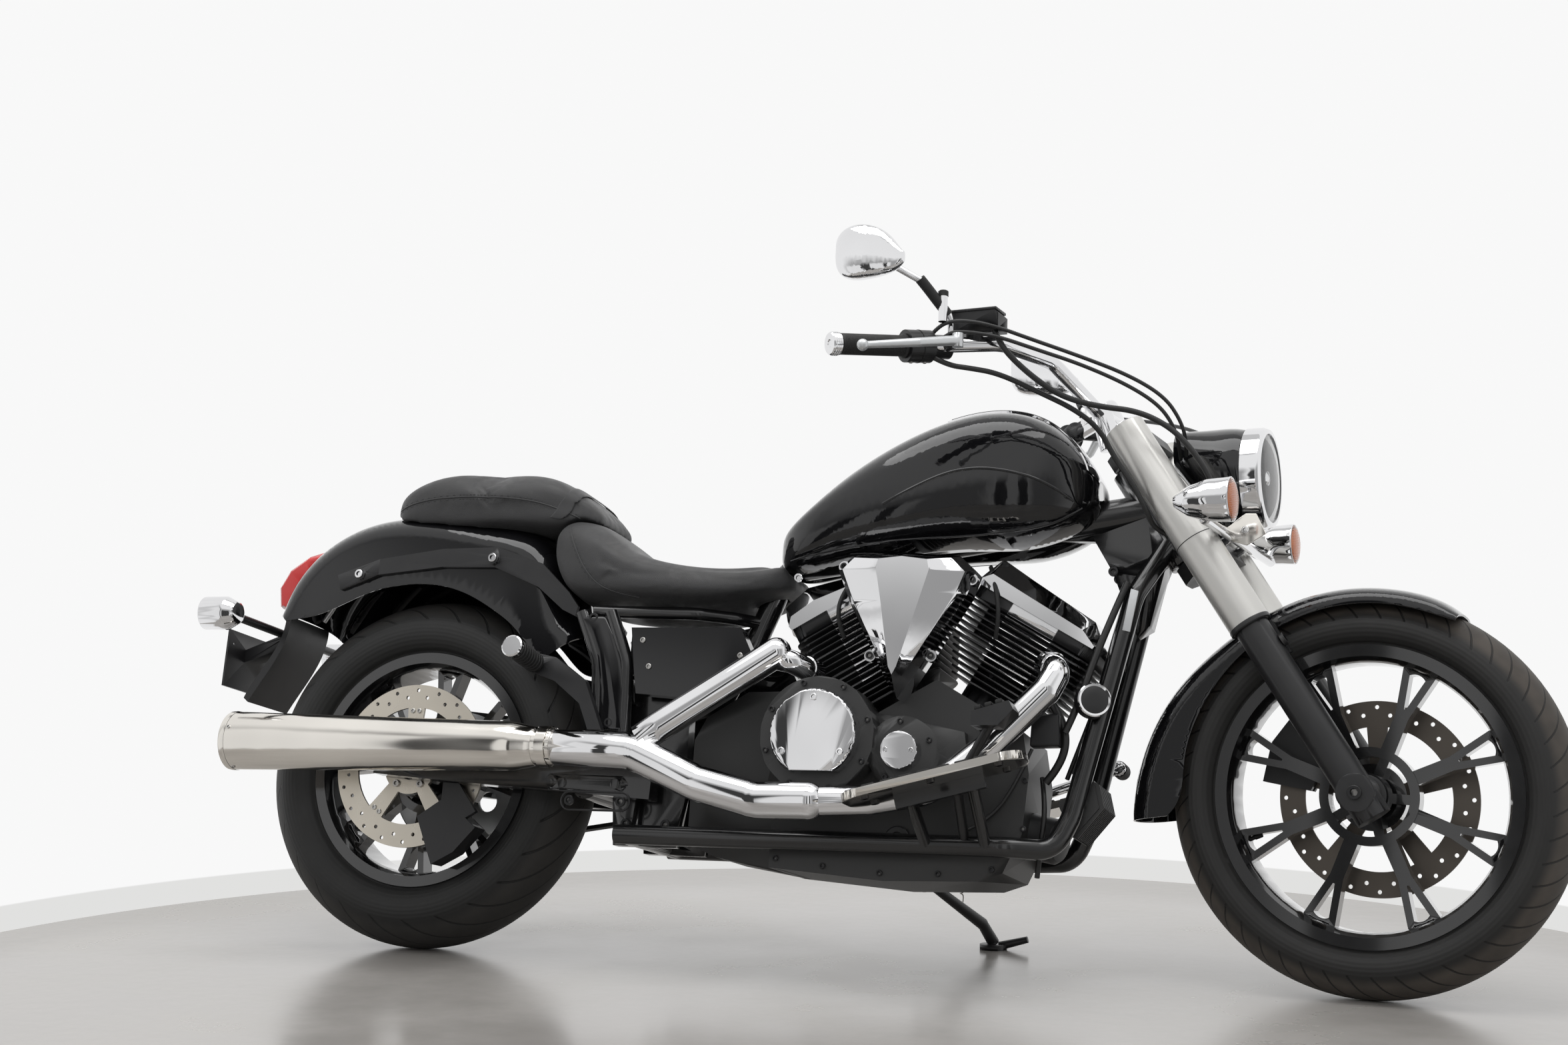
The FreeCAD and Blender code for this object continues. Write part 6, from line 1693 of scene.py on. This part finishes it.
@dataclass
class FrontEnd:
    """Fork, caliper, headlight and front signals."""

    lamp_centre: Point = (1500.0, 0.0, 850.0)

    def build(self) -> None:
        """Dresses everything ahead of the steering head."""
        carry_all(Body.FORK, (
            ("fork_clamps", SATIN, 30),
            ("fork_sleeves", NICKEL, 40),
            ("fork_sliders", SATIN, 35),
            ("front_caliper", SATIN, 30),
            ("front_signals", CHROME, 40),
            ("headlight_ring", CHROME, 40),
            ("headlight_shell", GLOSS, 40),
        ))
        self.headlight()
        for side, word in SIDES:
            bullet_lens(f"front_{word}_signal", Body.FORK, (1516, side * 226, 774), AHEAD, 34.4)
        self.sleeve_seams()
        self.fork_details()
        self.lamp_plate()

    def headlight(self) -> None:
        """A faceted reflector and bulb behind a clear domed lens."""
        dome = [(24, 74.5), (26, 72), (30, 56), (33, 34), (34.4, 12), (34.6, 0)]
        lens = spun("headlight_glass", dome, self.lamp_centre, AHEAD, 96)
        hang(lens, Body.FORK, CLEAR, ROUND, ["headlight_lens"]).visible_shadow = False
        bowl = [(22, 74.4), (10, 70), (-12, 54), (-30, 34), (-38, 14), (-38, 10)]
        turned("headlight_reflector", bowl, self.lamp_centre, AHEAD, Body.FORK, REFLECTOR, 40, 6)
        bulb = [(-38, 9), (-12, 9), (-10, 11), (-6, 11), (-4, 8), (0, 0)]
        turned("headlight_bulb", bulb, self.lamp_centre, AHEAD, Body.FORK, CHROME, 32)

    def sleeve_seams(self) -> None:
        """The dark joint in each fork cover, the lip at its foot and the cap on top."""
        up = Vector((-math.sin(RAKE), 0, math.cos(RAKE)))
        seam = [(-0.7, 35.0), (-0.7, 35.25), (0.7, 35.25), (0.7, 35.0)]
        lip = [(0, 31.8), (-1.6, 33.4), (0, 35.6), (5, 35.9), (7, 35.1)]
        cap = [(0, 34.6), (1.5, 33.6), (2.2, 24), (5.5, 23), (6.4, 21.5), (6.4, 0)]
        for side, word in SIDES:
            base = Vector((WHEELBASE, side * FORK_SIDE, FRONT_RADIUS))
            ring = spun(f"{word}_sleeve_seam", seam, base + up * 484, up, 64, closed=True)
            hang(ring, Body.FORK, RUBBER)
            turned(f"{word}_sleeve_lip", lip, base + up * 313, up, Body.FORK, SATIN)
            turned(f"{word}_fork_cap", cap, base + up * 716, up, Body.FORK, CHROME)

    def lamp_plate(self) -> None:
        """The polished plate that carries the signals' bar, with its bolt."""
        outline = ((1466, 738), (1469, 758), (1500, 780), (1518, 779), (1534, 744), (1502, 726))
        hang(side_plate("signal_plate", outline, -66, -62, 1.2), Body.FORK, POLISHED)
        screws("signal_plate_bolt", 6.0, 4.0, [((1500, -66, 752), RIGHT)], Body.FORK, CHROME)

    def fork_details(self) -> None:
        """The axle's ends, the sliders' lugs and the caliper's bolts."""
        up = Vector((-math.sin(RAKE), 0, math.cos(RAKE)))
        ahead = Vector((math.cos(RAKE), 0, math.sin(RAKE)))
        places = []
        for side, _ in SIDES:
            places.append(((WHEELBASE, side * 139.2, FRONT_RADIUS), (0, side, 0)))
            lug = Vector((WHEELBASE, side * FORK_SIDE, FRONT_RADIUS)) + up * 268 + ahead * 29.5
            places.append((lug, ahead))
        screws("fork_bolts", 11.0, 7.0, places, Body.FORK, BLACK_BOLT)
        pins = [((WHEELBASE - 150, 100.2, FRONT_RADIUS + z), LEFT) for z in (36, 92)]
        screws("caliper_bolts", 7.0, 5.0, pins, Body.FORK, STEEL)


@dataclass
class Cockpit:
    """Handlebar, grips, controls, mirrors and the cables between them."""

    grip_start: Point = (1028.0, 398.0, 1022.0)
    grip_end: Point = (948.0, 500.0, 1007.0)

    def build(self) -> None:
        """Dresses what the rider holds."""
        carry_all(Body.FORK, (
            ("handlebar", CHROME, 50),
            ("hand_controls", PLASTIC, 35),
            ("hand_levers", ALUMINIUM, 50),
            ("mirrors", CHROME, 50),
        ))
        for side, word in SIDES:
            self.grip(side, word)
        for side, word in SIDES:
            self.mirror_stem(side, word)
        for side, word in SIDES:
            self.switches(side, word)
        self.reservoir_lid()
        for cable in CABLES:
            cable.build()

    def grip_line(self, side: int) -> tuple[Vector, Vector, float]:
        """The start, the direction and the length of one grip."""
        start, end = (Vector((x, side * y, z)) for x, y, z in (self.grip_start, self.grip_end))
        return start, (end - start).normalized(), (end - start).length

    def grip(self, side: int, word: str) -> None:
        """A ribbed rubber grip with a knurled chrome end."""
        start, way, length = self.grip_line(side)
        outline = [(6, 13), (6, 20), (9, 20.4), (11, 18)]
        pitch = 2.6
        for k in range(int((length - 18) / pitch)):
            at = 12 + k * pitch
            outline += [(at, 16.9), (at + pitch * 0.3, 17.5), (at + pitch * 0.7, 17.5)]
        outline += [(length - 4, 17), (length - 4, 13)]
        grip = spun(f"{word}_grip", outline, start, way, 40)
        hang(grip, Body.FORK, RUBBER, replaced=["grips"] if side < 0 else [])
        knurl = [(0, 17.6), (1.5, 18.9), (15, 18.9), (17, 17), (17, 7), (15.5, 5), (15.5, 0)]
        turned(f"{word}_grip_end", knurl, start + way * (length - 3), way, Body.FORK, CHROME, 48)
        band = [(0, 18.8), (0.5, 19.6), (1.6, 19.6), (2.1, 18.8)]
        bands = [spun("band", band, start + way * (length + at), way, 48) for at in (0.5, 4.0, 7.5)]
        hang(join(f"{word}_grip_bands", bands), Body.FORK, CHROME)

    def mirror_stem(self, side: int, word: str) -> None:
        """A rubber boot on a mirror's stem and the chrome post beside it."""
        route = ((1081, 358, 1081), (1070, 373, 1098), (1058, 389, 1118), (1048, 402, 1133))
        boot = wire(f"{word}_mirror_boot", [(x, side * y, z) for x, y, z in route], 9.0)
        hang(boot, Body.FORK, RUBBER, ROUND)
        post = [(0, 7.5), (44, 7.5), (46, 6), (46, 0)]
        turned(f"{word}_mirror_post", post, (1077, side * 370, 1066), UP, Body.FORK, CHROME, 32)
        cap = [(-2, 8.6), (6, 8.6), (8, 6), (8, 0)]
        turned(f"{word}_mirror_post_cap", cap, (1077, side * 370, 1111), UP, Body.FORK, RUBBER, 32)

    def switches(self, side: int, word: str) -> None:
        """The joint line, rocker switches and screws on one switch housing."""
        start, way, _ = self.grip_line(side)
        rear = way.cross(Vector((0, 0, side))).normalized()
        rear = -rear if rear.x > 0 else rear
        seam = [(-0.8, 26.8), (-0.8, 27.6), (0.8, 27.6), (0.8, 26.8)]
        joint = spun(f"{word}_switch_joint", seam, start - way * 18, way, 48, closed=True)
        hang(joint, Body.FORK, RUBBER)
        button = [(0, 6.0), (3.5, 6.0), (5, 4.5), (5, 0)]
        rockers = []
        for along, lift in ((10, 8), (28, 8), (28, -10)):
            spot = start - way * along + rear * 25 + Vector((0, 0, lift))
            rockers.append(spun("rocker", button, spot, rear, 24))
        hang(join(f"{word}_rockers", rockers), Body.FORK, RUBBER)
        heads = [(start - way * along - Vector((0, 0, 26.4)), (0, 0, -1)) for along in (6, 32)]
        screws(f"{word}_switch_screws", 3.4, 2.2, heads, Body.FORK, STEEL)

    def reservoir_lid(self) -> None:
        """The brake fluid reservoir's lid with its screws."""
        corners = [(1076, -342, 1088), (1159, -342, 1088), (1159, -294, 1088), (1076, -294, 1088)]
        hang(plate("reservoir_lid", corners, (0, 0, 5), 1.6), Body.FORK, PLASTIC)
        heads = [((x, -318, 1093), UP) for x in (1086, 1149)]
        screws("reservoir_screws", 3.6, 1.8, heads, Body.FORK, STEEL)


CABLES = (
    Cable(
        "upper_throttle_cable",
        (
            (1058, -370, 1046), (1074, -372, 1062), (1104, -364, 1068), (1150, -349, 1061),
            (1208, -300, 1042), (1273, -250, 1021), (1342, -200, 995), (1387, -152, 967), (1404, -116, 934),
            (1406, -86, 906), (1399, -60, 884),
        ),
        6.5, 0.550,
    ),
    Cable(
        "lower_throttle_cable",
        (
            (1066, -368, 1030), (1086, -368, 1048), (1116, -362, 1048), (1160, -343, 1042),
            (1214, -294, 1026), (1273, -250, 1008), (1336, -200, 981), (1376, -152, 955), (1391, -116, 928),
            (1394, -86, 900), (1388, -54, 880),
        ),
        6.5, 0.531,
    ),
    Cable(
        "front_brake_hose",
        (
            (1148, -326, 1062), (1156, -326, 1044), (1170, -318, 1018), (1202, -288, 984), (1240, -246, 956),
            (1292, -208, 944), (1348, -178, 940), (1398, -158, 914), (1434, -150, 874), (1460, -142, 830),
            (1464, -106, 792), (1452, -60, 776), (1446, -12, 771),
        ),
        10.0, 0.608,
    ),
    Cable(
        "switch_loom",
        (
            (1060, -370, 1008), (1084, -362, 994), (1114, -340, 992), (1152, -308, 988), (1204, -262, 964),
            (1254, -220, 940), (1286, -184, 912), (1304, -162, 868), (1334, -150, 822), (1352, -136, 780),
            (1356, -112, 757), (1378, -84, 743), (1416, -58, 727),
        ),
        9.0, 0.586,
    ),
    Cable(
        "clutch_cable",
        (
            (1058, 370, 1046), (1074, 372, 1060), (1106, 362, 1062), (1152, 336, 1052), (1210, 292, 1034),
            (1273, 246, 1014), (1338, 198, 988), (1382, 150, 960), (1400, 114, 930), (1404, 86, 904),
            (1399, 60, 884),
        ),
        7.0, 0.538,
    ),
)


def main() -> None:
    """Builds the scene in order."""
    logging.basicConfig(level=logging.INFO, format="%(name)s: %(message)s")
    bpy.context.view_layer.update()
    Studio().build()
    Cockpit().build()
    FrontEnd().build()
    Wheels().build()
    Bodywork().build()
    Engine().build()
    Running().build()
    Upholstery().build()


if __name__ == "__main__":
    main()
